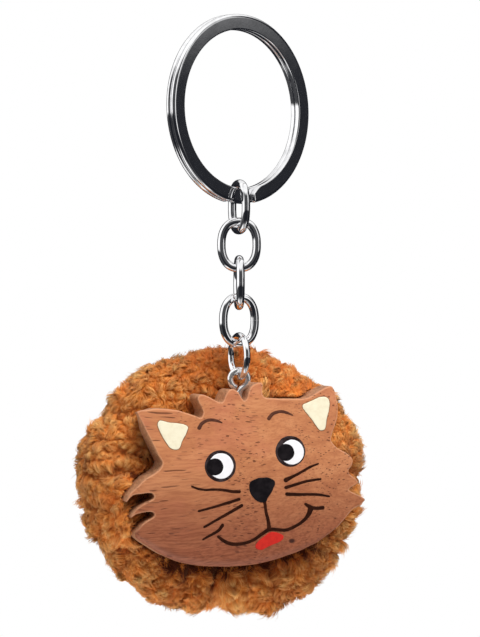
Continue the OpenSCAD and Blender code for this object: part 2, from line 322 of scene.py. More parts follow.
def wood():
    m = Nodes("wood")
    p, a, b, c = wood_coords(m)
    # pores
    def pores(along, across, radius, keep, seed):
        v = m.combine(m.math("DIVIDE", a, along), m.math("ADD", m.math("DIVIDE", b, across), seed), m.math("DIVIDE", c, across))
        cell = m.voronoi(v)
        pick = m.separate(cell.outputs["Color"])[0]
        rad = m.math("MULTIPLY", m.map(pick, keep, 1.0, 0.0, 1.0, False), radius)
        edge = m.math("SUBTRACT", rad, cell.outputs["Distance"])
        return m.map(edge, -0.01, 0.07)

    big = pores(14.0, 0.42, 0.29, 0.04, 0.0)
    small = pores(9.0, 0.27, 0.29, 0.12, 37.0)
    pore = m.math("MAXIMUM", m.math("MULTIPLY", big, 0.9), m.math("MULTIPLY", small, 0.6))
    # growth rings and fibre streaks
    rings = m.noise(m.combine(m.math("MULTIPLY", a, 0.03), m.math("MULTIPLY", b, 0.55), m.math("MULTIPLY", c, 0.55)), 1.0, 3, 0.55).outputs[0]
    hair = m.noise(m.combine(m.math("MULTIPLY", a, 0.30), m.math("MULTIPLY", b, 3.6), m.math("MULTIPLY", c, 3.6)), 1.0, 4, 0.62).outputs[0]
    cloud = m.noise(p, 0.16, 3, 0.55).outputs[0]
    z = m.separate(p)[2]
    base = m.ramp(rings, [(0.25, srgb(172, 108, 72)), (0.5, srgb(194, 128, 86)), (0.75, srgb(208, 144, 100))])
    base = m.mix(m.map(hair, 0.38, 0.72, 0.0, 0.55), base, srgb(158, 92, 62))
    base = m.mix(m.map(cloud, 0.42, 0.72, 0.0, 0.35), base, srgb(190, 112, 88))
    # painted shade: the face darkens and reddens towards the chin, as if lit from above
    low = m.map(z, -53.0, -72.0, 0.0, 0.86)
    base = m.mix(low, base, m.mix(m.map(hair, 0.34, 0.66), srgb(140, 80, 58), srgb(108, 56, 40)))
    at = m.add("ShaderNodeAttribute")
    at.attribute_type = "GEOMETRY"
    at.attribute_name = "rim"
    rim, wall = m.separate(at.outputs["Color"])[:2]
    # the sawn side wall and the back get a greyer, duller brown: partly the sawn grain's own colour, partly painted
    # shade of a wall turned from the light
    across = m.noise(m.combine(m.math("MULTIPLY", a, 2.6), m.math("MULTIPLY", b, 2.6), m.math("MULTIPLY", c, 0.4)), 1.0, 3, 0.6).outputs[0]
    sawn_and_shade = m.mix(m.map(across, 0.35, 0.68), srgb(188, 142, 108), srgb(152, 108, 80))
    base = m.mix(m.math("MULTIPLY", wall, 0.85), base, sawn_and_shade)
    col = m.mix(m.math("MULTIPLY", pore, 0.80), base, srgb(88, 42, 26))
    x = m.separate(p)[0]
    far = m.math("SQRT", m.math("ADD", m.math("POWER", m.math("DIVIDE", m.math("SUBTRACT", x, 7.9), 0.62), 2.0), m.math("POWER", m.math("DIVIDE", m.math("SUBTRACT", z, -69.3), 0.42), 2.0)))
    knot = m.map(m.math("ADD", far, m.math("MULTIPLY", hair, 0.9)), 0.95, 1.55, 0.92, 0.0)
    col = m.mix(knot, col, srgb(54, 30, 26))
    # painted highlight: a thin pale line along the face's sharp edges, where light catches them
    col = m.mix(m.math("MULTIPLY", rim, m.map(hair, 0.3, 0.6, 0.15, 0.6)), col, srgb(222, 168, 130))
    m.set(Base_Color=col)
    m.set(Roughness=m.map(hair, 0.2, 0.8, 0.36, 0.5))
    m.bsdf.inputs["Specular IOR Level"].default_value = 0.3
    h = m.math("ADD", m.math("MULTIPLY", pore, -1.0), m.math("MULTIPLY", hair, 0.35))
    m.set(Normal=m.bump(h, 0.9, 0.00012))
    return m.mat


MAT_WOOD = wood()


def paint(name, colour, other, rough, show=0.25):
    m = Nodes(name)
    p, a, b, c = wood_coords(m)
    hair = m.noise(m.combine(m.math("MULTIPLY", a, 0.35), m.math("MULTIPLY", b, 3.5), m.math("MULTIPLY", c, 3.5)), 1.0, 3, 0.6).outputs[0]
    blot = m.noise(p, 1.1, 3, 0.55).outputs[0]
    col = m.mix(m.map(blot, 0.35, 0.7), colour, other)
    m.set(Base_Color=col, Roughness=m.map(hair, 0.3, 0.7, rough, rough + 0.14))
    m.bsdf.inputs["Specular IOR Level"].default_value = 0.16
    m.set(Normal=m.bump(m.math("ADD", m.math("MULTIPLY", hair, show), m.math("MULTIPLY", blot, 0.5)), 0.5, 0.00006))
    return m.mat


MAT_WHITE = paint("white_paint", (0.84, 0.83, 0.86), (0.80, 0.79, 0.82), 0.38)
MAT_CREAM = paint("cream_paint", srgb(233, 226, 200), srgb(226, 216, 188), 0.5, 0.5)
MAT_BLACK = paint("black_paint", srgb(18, 15, 18), srgb(30, 26, 29), 0.34)
MAT_LINE = paint("brown_black_paint", srgb(38, 15, 7), srgb(54, 24, 12), 0.4)
MAT_BROW = paint("brown_paint", srgb(78, 46, 36), srgb(96, 58, 44), 0.45)
MAT_RIM = paint("ear_patch_dark_band", srgb(118, 84, 58), srgb(134, 98, 68), 0.55)
MAT_RED = paint("red_paint", srgb(196, 44, 36), srgb(182, 40, 34), 0.4)


def glue():
    m = Nodes("glue")
    p = m.mm()
    n = m.noise(p, 1.4, 3, 0.5).outputs[0]
    m.set(Base_Color=m.mix(n, (0.78, 0.70, 0.52), (0.88, 0.84, 0.72)), Roughness=m.map(n, 0.3, 0.7, 0.14, 0.3))
    m.bsdf.inputs["Subsurface Weight"].default_value = 0.3
    m.bsdf.inputs["Subsurface Radius"].default_value = (0.001, 0.0008, 0.0005)
    m.set(Normal=m.bump(n, 0.4, 0.0002))
    return m.mat


MAT_GLUE = glue()


def thread():
    m = Nodes("thread")
    p = m.mm()
    w = m.add("ShaderNodeTexWave")
    w.wave_type = "BANDS"
    w.bands_direction = "DIAGONAL"
    m.put(w.inputs["Vector"], p)
    w.inputs["Scale"].default_value = 3.2
    n = m.noise(p, 6.0, 2, 0.5).outputs[0]
    col = m.mix(m.map(w.outputs[0], 0.2, 0.8), srgb(92, 44, 14), srgb(158, 92, 36))
    m.set(Base_Color=m.mix(m.math("MULTIPLY", n, 0.3), col, srgb(190, 120, 60)), Roughness=0.85)
    m.set(Normal=m.bump(w.outputs[0], 0.6, 0.00005))
    m.bsdf.inputs["Sheen Weight"].default_value = 0.3
    return m.mat


MAT_THREAD = thread()


# ---------------------------------------------------------------- chain hardware
def heading(deg):
    a = math.radians(deg)
    return np.array([math.cos(a), math.sin(a), 0.0]), np.array([-math.sin(a), math.cos(a), 0.0])


def flat_section(w, h, r_in, r_out, per=6):
    """A flat wire's section: x from the ring's middle outwards, y along its axis, softer on its outer corners."""
    pts = []
    for sx, sy, a0 in ((1, 1, 0), (-1, 1, 90), (-1, -1, 180), (1, -1, 270)):
        r = r_out if sx > 0 else r_in
        cx, cy = sx * (w / 2 - r), sy * (h / 2 - r)
        arc = [(cx + r * math.cos(math.radians(a0 + 90 * i / per)), cy + r * math.sin(math.radians(a0 + 90 * i / per))) for i in range(per + 1)]
        pts += arc
        # points just past each corner keep the flats flat
        if (sx, sy) in ((1, 1), (-1, -1)):
            x0, x1 = arc[-1][0], -sx * (w / 2 - (r_in if sx > 0 else r_out))
            for t in (0.03, 0.3, 0.65, 0.97):
                pts.append((x0 + (x1 - x0) * t, arc[-1][1]))
        else:
            y0, y1 = arc[-1][1], -sy * (h / 2 - r)
            for t in (0.1, 0.9):
                pts.append((arc[-1][0], y0 + (y1 - y0) * t))
    return np.array(pts)


def split_ring():
    R_OUT, BAND, TURN = 15.15, 2.5, 0.97
    wide, deep = heading(31)
    middle = np.array([0, 0, -0.35])
    start, total = -81.0, 720 - 18.0
    steps = 660
    ang = np.linspace(start, start + total, steps)
    # offset along the axis: front turn at -0.51, back turn at +0.51, crossing at the bottom (270 degrees)
    off = -0.5 + 1.0 * smooth(270 - 9.0, 270 + 9.0, ang)
    a = np.radians(ang)
    e = np.cos(a)[:, None] * wide + np.sin(a)[:, None] * np.array([0, 0, 1.0])
    sec = flat_section(BAND, TURN, 0.22, 0.46)
    # the outer edge is rounded like the end of an egg
    sec[:, 0] = np.interp(sec[:, 0], [-BAND / 2, BAND / 2 - 0.46, BAND / 2], [-BAND / 2, BAND / 2 - 0.58, BAND / 2])
    k = len(sec)
    # each end is ground to a rounded point that lies along the outer edge
    s = np.radians(np.minimum(ang - ang[0], ang[-1] - ang)) * 14.0
    t = np.clip(s / 2.6, 0, 1)
    narrow = 0.40 + 0.60 * np.sin(t * math.pi / 2) ** 0.8
    tip = np.clip(s / 0.45, 0, 1)
    cap = 0.25 + 0.75 * np.sqrt(np.clip(1 - (1 - tip) ** 2, 0, 1))
    pts = np.zeros((steps, k, 3))
    x = BAND / 2 - (BAND / 2 - sec[None, :, 0]) * narrow[:, None]
    mid = (BAND / 2) * (1 - narrow)[:, None]
    x = mid + (x - mid) * cap[:, None]
    y = sec[None, :, 1] * cap[:, None]
    pts = e[:, None, :] * (R_OUT - BAND / 2 + x)[:, :, None] + deep[None, None, :] * (off[:, None] + y)[:, :, None] + middle
    faces = []
    for i in range(steps - 1):
        for j in range(k):
            j2 = (j + 1) % k
            faces.append((i * k + j, i * k + j2, (i + 1) * k + j2, (i + 1) * k + j))
    faces.append(tuple(reversed(range(k))))
    faces.append(tuple(range((steps - 1) * k, steps * k)))
    make_mesh("split_ring_coil", pts.reshape(-1, 3), faces, MAT_RING, "ring", replaces=["split_ring"])


def wire_loop(name, head, top, length, width, wire, body, node, square=2.0, sides=24, gap=0.006):
    """A loop of round wire, wide along its heading, with the wire's two ends butted in one leg."""
    wide, deep = heading(head)
    r = wire / 2
    a, b = width / 2 - r, length / 2 - r
    cz = top - length / 2
    t = np.linspace(0, TAU, 4001)
    c, s_ = np.cos(t), np.sin(t)
    x = a * np.sign(c) * np.abs(c) ** (2 / square)
    z = b * np.sign(s_) * np.abs(s_) ** (2 / square)
    d = np.concatenate([[0], np.cumsum(np.hypot(np.diff(x), np.diff(z)))])
    n = 150
    at = np.linspace(gap / 2, d[-1] - gap / 2, n - 2)
    at = np.concatenate([[at[0], at[0] + 0.003], at[1:-1], [at[-1] - 0.003, at[-1]]])
    x, z = np.interp(at, d, x), np.interp(at, d, z)
    tx, tz = np.gradient(x), np.gradient(z)
    ln = np.hypot(tx, tz)
    tx, tz = tx / ln, tz / ln
    path = x[:, None] * wide + (z + cz)[:, None] * np.array([0, 0, 1.0])
    out = tz[:, None] * wide - tx[:, None] * np.array([0, 0, 1.0])
    th = np.arange(sides) * TAU / sides
    sec = np.stack([np.cos(th), np.sin(th)], 1) * r
    pts, faces = sweep(path, (out, np.repeat(deep[None], n, 0)), sec)
    make_mesh(name, pts, faces, MAT_CHAIN, body, replaces=[node])


LINK_L, LINK_W, WIRE, PLAY = 8.8, 7.0, 1.35, 0.05
tops = [-13.0 + WIRE + PLAY]
for _ in range(3):
    tops.append(tops[-1] - (LINK_L - 2 * WIRE - PLAY))
JUMP_OD, JUMP_WIRE, EYE_OD, EYE_WIRE = 7.7, 1.1, 3.9, 1.0
top_jump = tops[3] - LINK_L + WIRE + JUMP_WIRE + PLAY
top_eye = top_jump - JUMP_OD + JUMP_WIRE + EYE_WIRE + PLAY
WOOD_HOLD = -46.9


def screw_eye():
    r = EYE_WIRE / 2
    R = EYE_OD / 2 - r
    cz = top_eye - EYE_OD / 2
    # one wire: down the shank's axis, then round the eye until it nearly meets the shank again
    path, n = [], 0
    tip = WOOD_HOLD - 9.0
    for z in np.linspace(WOOD_HOLD - 1.3, cz - EYE_OD / 2 - 0.35, 10):
        path.append((0, z))
    # bend from the axis onto the circle
    for t in np.linspace(0, 1, 14)[1:]:
        ang = math.radians(-90 + 62 * t)
        cx, czz = R * math.cos(ang), cz + R * math.sin(ang)
        w = smooth(0, 1, np.array(t))
        z0 = cz - EYE_OD / 2 - 0.35 + 0.9 * t
        path.append((cx * w + 0 * (1 - w), z0 * (1 - w) + czz * w))
    for t in np.linspace(-28, 250, 72)[1:]:
        a = math.radians(t)
        path.append((R * math.cos(a), cz + R * math.sin(a)))
    path = np.array(path)
    p3 = np.zeros((len(path), 3))
    p3[:, 0], p3[:, 2] = path[:, 0], path[:, 1]
    tan = np.gradient(p3, axis=0)
    tan /= np.linalg.norm(tan, axis=1)[:, None]
    dy = np.array([0, 1.0, 0])
    out = np.cross(tan, dy)
    sec_a = np.arange(20) * TAU / 20
    sec = np.stack([np.cos(sec_a), np.sin(sec_a)], 1) * r
    pts, faces = sweep(p3, (out, np.repeat(dy[None], len(p3), 0)), sec)
    # threaded shank as a helical ridge: radius varies with angle and height
    m, k = 220, 28
    z = np.linspace(WOOD_HOLD - 1.2, tip, m)
    a = np.arange(k) * TAU / k
    Z, A = np.meshgrid(z, a, indexing="ij")
    pitch = 0.72
    ph = ((Z / pitch + A / TAU) % 1.0)
    saw = np.where(ph < 0.5, ph / 0.5, (1 - ph) / 0.5)
    depth = np.clip((WOOD_HOLD - 1.2 - Z) / 0.6, 0, 1)
    taper = np.clip((Z - tip) / 1.6, 0.02, 1)
    rad = (0.42 + 0.19 * saw**1.5 * depth) * taper**0.8
    shank = np.stack([rad * np.cos(A), rad * np.sin(A), Z], -1).reshape(-1, 3)
    base = len(pts)
    f2 = []
    for i in range(m - 1):
        for j in range(k):
            j2 = (j + 1) % k
            f2.append((base + i * k + j, base + (i + 1) * k + j, base + (i + 1) * k + j2, base + i * k + j2))
    f2.append(tuple(base + j for j in range(k)))
    f2.append(tuple(base + (m - 1) * k + j for j in reversed(range(k))))
    make_mesh("screw_eye_wire", np.vstack([pts, shank]), faces + f2, MAT_EYE, "pendant", replaces=["screw_eye"])


# ---------------------------------------------------------------- plates: the head and its paint
DOME_R = 110.0
DOME_C = np.array([0.9, DOME_R - 4.0, -59.5])


def dome_y(x, z):
    return DOME_C[1] - np.sqrt(DOME_R**2 - (x - DOME_C[0]) ** 2 - (z - DOME_C[2]) ** 2)


def smooth_outline(points, step, tension=0.5):
    """A closed Catmull-Rom curve through the points, with points about step apart."""
    p = np.asarray(points, float)
    n = len(p)
    out = []
    for i in range(n):
        p0, p1, p2, p3 = p[(i - 1) % n], p[i], p[(i + 1) % n], p[(i + 2) % n]
        m1, m2 = (p2 - p0) * tension, (p3 - p1) * tension
        k = max(1, int(round(np.linalg.norm(p2 - p1) / step)))
        for j in range(k):
            t = j / k
            out.append((2 * t**3 - 3 * t**2 + 1) * p1 + (t**3 - 2 * t**2 + t) * m1 + (-2 * t**3 + 3 * t**2) * p2 + (t**3 - t**2) * m2)
    return np.array(out)


def edge_distance(q, outline):
    """Distance of points q to the closed outline, and whether each is inside."""
    a = outline
    b = np.roll(outline, -1, axis=0)
    ab = b - a
    best = np.full(len(q), np.inf)
    inside = np.zeros(len(q), bool)
    L = (ab**2).sum(1)
    for s in range(0, len(q), 2000):
        c = q[s : s + 2000]
        ap = c[:, None, :] - a[None]
        t = np.clip((ap * ab).sum(2) / np.maximum(L, 1e-12), 0, 1)
        d = np.linalg.norm(ap - t[:, :, None] * ab, axis=2).min(1)
        best[s : s + 2000] = d
        y, x = c[:, 1][:, None], c[:, 0][:, None]
        cond = (a[:, 1] > y) != (b[:, 1] > y)
        with np.errstate(divide="ignore", invalid="ignore"):
            xx = (b[:, 0] - a[:, 0]) * (y - a[:, 1]) / (b[:, 1] - a[:, 1]) + a[:, 0]
        inside[s : s + 2000] = (cond & (x < xx)).sum(1) % 2 == 1
    return best, inside


def triangulate(outline, spacing, rings):
    """Points (outline first) and triangles filling the outline, finer near the edge."""
    area = 0.5 * np.sum(outline[:, 0] * np.roll(outline[:, 1], -1) - np.roll(outline[:, 0], -1) * outline[:, 1])
    if area < 0:
        outline = outline[::-1]
    lo, hi = outline.min(0), outline.max(0)
    tan = np.roll(outline, -1, 0) - np.roll(outline, 1, 0)
    tan /= np.maximum(np.linalg.norm(tan, axis=1), 1e-9)[:, None]
    inward = np.stack([-tan[:, 1], tan[:, 0]], 1)
    pts = [outline]
    for d in rings:
        q = outline + inward * d
        dist, ins = edge_distance(q, outline)
        q = q[ins & (dist > 0.93 * d)]
        pts.append(q)
    if spacing:
        xs = np.arange(lo[0], hi[0], spacing)
        zs = np.arange(lo[1], hi[1], spacing * 0.866)
        gx, gz = np.meshgrid(xs, zs)
        gx = gx + (np.arange(len(zs)) % 2)[:, None] * spacing / 2
        q = np.stack([gx.ravel(), gz.ravel()], 1)
        dist, ins = edge_distance(q, outline)
        pts.append(q[ins & (dist > (rings[-1] if len(rings) else 0) + 0.45 * spacing)])
    allp = np.vstack(pts)
    n = len(outline)
    edges = [(i, (i + 1) % n) for i in range(n)]
    v, e, f, ov, oe, of_ = delaunay_2d_cdt([Vector(p) for p in allp], edges, [], 1, 1e-6)
    v = np.array([tuple(p) for p in v])
    tri = np.array([t for t in f if len(t) == 3])
    # the triangles inside the outline only, all wound the same way
    c = v[tri].mean(1)
    _, ins = edge_distance(c, outline)
    tri = tri[ins]
    a, b, cc = v[tri[:, 0]], v[tri[:, 1]], v[tri[:, 2]]
    cr = (b[:, 0] - a[:, 0]) * (cc[:, 1] - a[:, 1]) - (b[:, 1] - a[:, 1]) * (cc[:, 0] - a[:, 0])
    tri = tri[np.abs(cr) > 1e-9]
    cr = cr[np.abs(cr) > 1e-9]
    tri[cr < 0] = tri[cr < 0][:, ::-1]
    dist, _ = edge_distance(v, outline)
    return v, tri, dist, outline


def plate(outline, spacing, rings, front, rear, rows):
    """A closed solid between y = front(x, z, d) and y = rear(x, z, d) over the outline, d is the distance to its edge."""
    v, tri, dist, outline = triangulate(outline, spacing, rings)
    # boundary edges: those used by one triangle
    e = np.sort(np.vstack([tri[:, [0, 1]], tri[:, [1, 2]], tri[:, [2, 0]]]), axis=1)
    directed = np.vstack([tri[:, [0, 1]], tri[:, [1, 2]], tri[:, [2, 0]]])
    key = e[:, 0].astype(np.int64) * len(v) + e[:, 1]
    _, idx, cnt = np.unique(key, return_index=True, return_counts=True)
    border = directed[idx[cnt == 1]]
    dist = dist.copy()
    dist[np.unique(border)] = 0
    x, z = v[:, 0], v[:, 1]
    yf, yb = front(x, z, dist), rear(x, z, dist)
    n = len(v)
    P = [np.stack([x, yf, z], 1), np.stack([x, yb, z], 1)]
    # seen from -Y, x right and z up: a counter-clockwise triangle faces -Y
    F = [tri, tri[:, ::-1] + n]
    tris = np.vstack(F)
    bid = np.unique(border)
    lookup = {int(b): i for i, b in enumerate(bid)}
    layers = [bid]
    base = 2 * n
    for r in range(1, rows):
        t = r / rows
        P.append(np.stack([x[bid], yf[bid] * (1 - t) + yb[bid] * t, z[bid]], 1))
        layers.append(np.arange(base, base + len(bid)))
        base += len(bid)
    layers.append(bid + n)
    walls = []
    for a, b in border:
        i, j = lookup[int(a)], lookup[int(b)]
        for r in range(rows):
            walls.append((layers[r][j], layers[r][i], layers[r + 1][i], layers[r + 1][j]))
    faces = [tuple(t) for t in tris.tolist()] + [tuple(int(q) for q in w) for w in walls]
    return np.vstack(P), faces, len(bid)


HEAD = [
    (-17.1, -48.6), (-16.4, -48.35), (-15.4, -48.3), (-13.9, -48.1), (-12.1, -48.2), (-10.5, -48.4), (-8.9, -48.9),
    (-7.5, -49.4), (-6.9, -49.6), (-6.5, -48.8), (-6.8, -47.9), (-7.2, -47.1), (-7.35, -46.5), (-7.1, -46.0),
    (-6.5, -45.9), (-5.7, -46.2), (-4.8, -46.7), (-3.8, -47.2), (-3.3, -47.0), (-2.9, -46.1), (-2.5, -45.4),
    (-2.0, -45.1), (-1.5, -45.1), (-1.0, -45.4), (-0.6, -45.9), (-0.2, -46.6), (0.15, -46.9), (0.6, -46.5),
    (0.9, -45.5), (1.3, -44.7), (1.9, -44.3), (2.6, -44.1), (3.1, -44.1), (3.25, -44.6), (3.1, -45.4), (3.2, -46.1),
    (3.8, -46.5), (5.1, -46.6), (6.7, -46.7), (8.4, -46.7), (9.8, -46.7), (10.7, -46.5), (11.6, -46.05),
    (12.6, -45.5), (13.6, -45.0), (14.7, -44.7), (15.1, -45.1), (15.35, -45.7), (15.6, -46.9), (15.75, -48.0),
    (15.7, -49.0), (15.5, -50.1), (15.0, -51.4), (14.6, -52.5), (14.45, -53.1), (14.6, -53.6), (15.25, -54.4),
    (16.25, -55.0), (17.2, -55.5), (17.9, -56.1), (18.15, -56.6), (18.05, -57.3), (17.6, -57.9), (17.4, -58.3),
    (17.7, -58.9), (18.4, -59.4), (18.9, -59.85), (19.1, -60.3), (18.0, -60.9), (17.45, -61.3), (18.0, -61.7),
    (18.9, -62.1), (20.3, -62.9), (19.9, -63.5), (19.2, -64.0), (18.2, -64.5), (17.4, -65.3), (16.6, -66.2),
    (15.75, -67.2), (14.9, -67.85), (14.1, -68.5), (12.45, -69.7), (10.8, -70.5), (9.2, -71.2), (7.5, -71.75),
    (5.9, -72.25), (4.25, -72.65), (2.6, -73.0), (0.95, -73.2), (-0.7, -73.3), (-2.3, -73.35), (-3.95, -73.3),
    (-5.6, -73.25), (-7.2, -73.1), (-8.9, -72.8), (-10.5, -72.4), (-12.15, -71.7), (-13.8, -70.8), (-15.4, -69.75),
    (-16.6, -68.95), (-17.1, -68.5), (-17.25, -67.85), (-17.1, -67.4), (-16.75, -67.0), (-16.3, -66.4),
    (-15.5, -65.8), (-14.8, -65.4), (-14.4, -65.1), (-14.35, -64.7), (-14.7, -64.4), (-15.5, -64.4),
    (-16.6, -64.6), (-17.3, -64.85), (-18.0, -65.3), (-17.7, -64.6), (-17.1, -63.9), (-16.3, -63.3),
    (-15.2, -62.7), (-14.5, -62.3), (-14.4, -61.8), (-14.8, -61.4), (-15.6, -61.4), (-16.6, -61.55),
    (-17.4, -61.65), (-18.0, -62.0), (-18.7, -62.8), (-18.4, -61.9), (-17.9, -61.2), (-17.1, -60.5),
    (-16.3, -59.7), (-15.4, -58.95), (-14.6, -58.5), (-13.8, -57.9), (-13.3, -57.3), (-13.1, -56.6),
    (-13.8, -55.3), (-14.6, -53.6), (-15.4, -52.0), (-16.3, -50.2), (-16.95, -48.95),
]
HEAD_LINE = smooth_outline(HEAD, 0.22, 0.42)


def wooden_head():
    wob = 0.02 * value_noise(np.stack([HEAD_LINE[:, 0], HEAD_LINE[:, 1], 0 * HEAD_LINE[:, 0]], 1), 0.8, 5)
    tan = np.roll(HEAD_LINE, -1, 0) - np.roll(HEAD_LINE, 1, 0)
    tan /= np.linalg.norm(tan, axis=1)[:, None]
    line = HEAD_LINE + np.stack([-tan[:, 1], tan[:, 0]], 1) * wob[:, None]

    def edge_r(x, z):
        chin = smooth(-66.0, -71.5, z)
        jaw = smooth(-66.0, -70.0, z) * smooth(-4, -14, x)
        return 0.20 + 1.25 * np.maximum(chin, jaw * 1.0)

    kept = {}

    def front(x, z, d):
        kept["d"] = d
        r = edge_r(x, z)
        t = np.clip(1 - d / r, 0, 1)
        sink = r * (1 - np.sqrt(np.clip(1 - t * t, 0, 1)))
        return dome_y(x, z) + sink + 0.012 * value_noise(np.stack([x, z, 0 * x], 1), 2.2, 3)

    def rear(x, z, d):
        r = 0.35
        t = np.clip(1 - d / r, 0, 1)
        return 4.0 - r * (1 - np.sqrt(np.clip(1 - t * t, 0, 1)))

    pts, faces, _ = plate(line, 0.42, [0.02, 0.06, 0.13, 0.24, 0.4, 0.65, 0.95, 1.3], front, rear, 7)
    # the ear's point is cut back a little on its far side
    q = (pts[:, 0] + 17.1) ** 2 + (pts[:, 2] + 48.6) ** 2
    back = np.clip((pts[:, 1] + 2.6) / 6.6, 0, 1) * np.exp(-q / 2.4**2)
    pts[:, 0] += 0.95 * back
    pts[:, 2] -= 0.30 * back
    ob = make_mesh("head_board", pts, faces, MAT_WOOD, "pendant", replaces=["wooden_head"])
    d = kept["d"]
    n = len(d)
    # the rim attribute: red is a painted highlight band just inside the face's sharp edges; green marks the sawn wall
    # and back, whose colour is partly painted shade
    rim = np.zeros((len(pts), 3))
    sharp = 1 - np.clip((edge_r(pts[:n, 0], pts[:n, 2]) - 0.2) / 0.6, 0, 1)
    rim[:n, 0] = np.clip(1 - np.abs(d - 0.09) / 0.14, 0, 1) * sharp
    rim[:n, 1] = np.clip(1 - d / 0.05, 0, 1) * 0.6
    rim[n:, 1] = 1
    attribute(ob, "rim", rim)
    return ob


T = 0.11


def film(name, outlines, material, nodes, spacing=0.35, edge=0.14, thick=T, seed=0):
    allp, allf, base = [], [], 0
    for o in outlines:
        o = np.asarray(o, float)
        w = 0.018 * value_noise(np.stack([o[:, 0], o[:, 1], np.full(len(o), seed)], 1), 0.45, seed + 9)
        tan = np.roll(o, -1, 0) - np.roll(o, 1, 0)
        tan /= np.maximum(np.linalg.norm(tan, axis=1), 1e-9)[:, None]
        o = o + np.stack([-tan[:, 1], tan[:, 0]], 1) * w[:, None]

        def front(x, z, d):
            t = np.clip(d / edge, 0, 1)
            lump = 1 + 0.12 * value_noise(np.stack([x, z, 0 * x], 1), 0.7, seed)
            return dome_y(x, z) - thick * lump * (0.35 + 0.65 * np.sqrt(np.clip(1 - (1 - t) ** 2, 0, 1)))

        def rear(x, z, d):
            return dome_y(x, z) + 0.05

        pts, faces, _ = plate(o, spacing, [0.04, 0.09, 0.15], front, rear, 1)
        allp.append(pts)
        allf += [tuple(i + base for i in f) for f in faces]
        base += len(pts)
    return make_mesh(name, np.vstack(allp), allf, material, "pendant", replaces=nodes)


def circle(c, r, n=72, wob=0.0, seed=0):
    a = np.arange(n) * TAU / n
    rr = r + wob * value_noise(np.stack([np.cos(a) * 2, np.sin(a) * 2, np.full(n, seed)], 1), 1.0, seed)
    return np.stack([c[0] + rr * np.cos(a), c[1] + rr * np.sin(a)], 1)


def stroke(points, widths, n=None):
    """The outline of a brush stroke along a smooth line through the points, with its width at each point."""
    p = np.asarray(points, float)
    w = np.asarray(widths, float)
    if len(w) == 2:
        w = np.linspace(w[0], w[1], len(p))
    seg = np.linalg.norm(np.diff(p, axis=0), axis=1)
    s = np.concatenate([[0], np.cumsum(seg)])
    k = max(8, int(s[-1] / 0.12))
    at = np.linspace(0, s[-1], k)
    # Catmull-Rom through the points by length
    out = []
    for d in at:
        i = min(max(np.searchsorted(s, d, "right") - 1, 0), len(p) - 2)
        t = (d - s[i]) / seg[i]
        p0 = p[i - 1] if i else 2 * p[0] - p[1]
        p3 = p[i + 2] if i + 2 < len(p) else 2 * p[-1] - p[-2]
        p1, p2 = p[i], p[i + 1]
        out.append(0.5 * (2 * p1 + (p2 - p0) * t + (2 * p0 - 5 * p1 + 4 * p2 - p3) * t * t + (3 * p1 - p0 - 3 * p2 + p3) * t**3))
    c = np.array(out)
    ww = np.interp(at, s, w) / 2
    tan = np.gradient(c, axis=0)
    tan /= np.linalg.norm(tan, axis=1)[:, None]
    nrm = np.stack([-tan[:, 1], tan[:, 0]], 1)
    cap = np.radians([70, 48, 24, 0, -24, -48, -70])
    end = np.array([c[-1] + ww[-1] * (math.cos(a) * tan[-1] + math.sin(a) * nrm[-1]) for a in cap])
    beg = np.array([c[0] + ww[0] * (-math.cos(a) * tan[0] - math.sin(a) * nrm[0]) for a in cap])
    return np.vstack([c + nrm * ww[:, None], end, (c - nrm * ww[:, None])[::-1], beg])


def spread(outline, d):
    """The outline moved outwards by d."""
    area = 0.5 * np.sum(outline[:, 0] * np.roll(outline[:, 1], -1) - np.roll(outline[:, 0], -1) * outline[:, 1])
    tan = np.roll(outline, -1, 0) - np.roll(outline, 1, 0)
    tan /= np.linalg.norm(tan, axis=1)[:, None]
    return outline + np.stack([tan[:, 1], -tan[:, 0]], 1) * (d if area > 0 else -d)


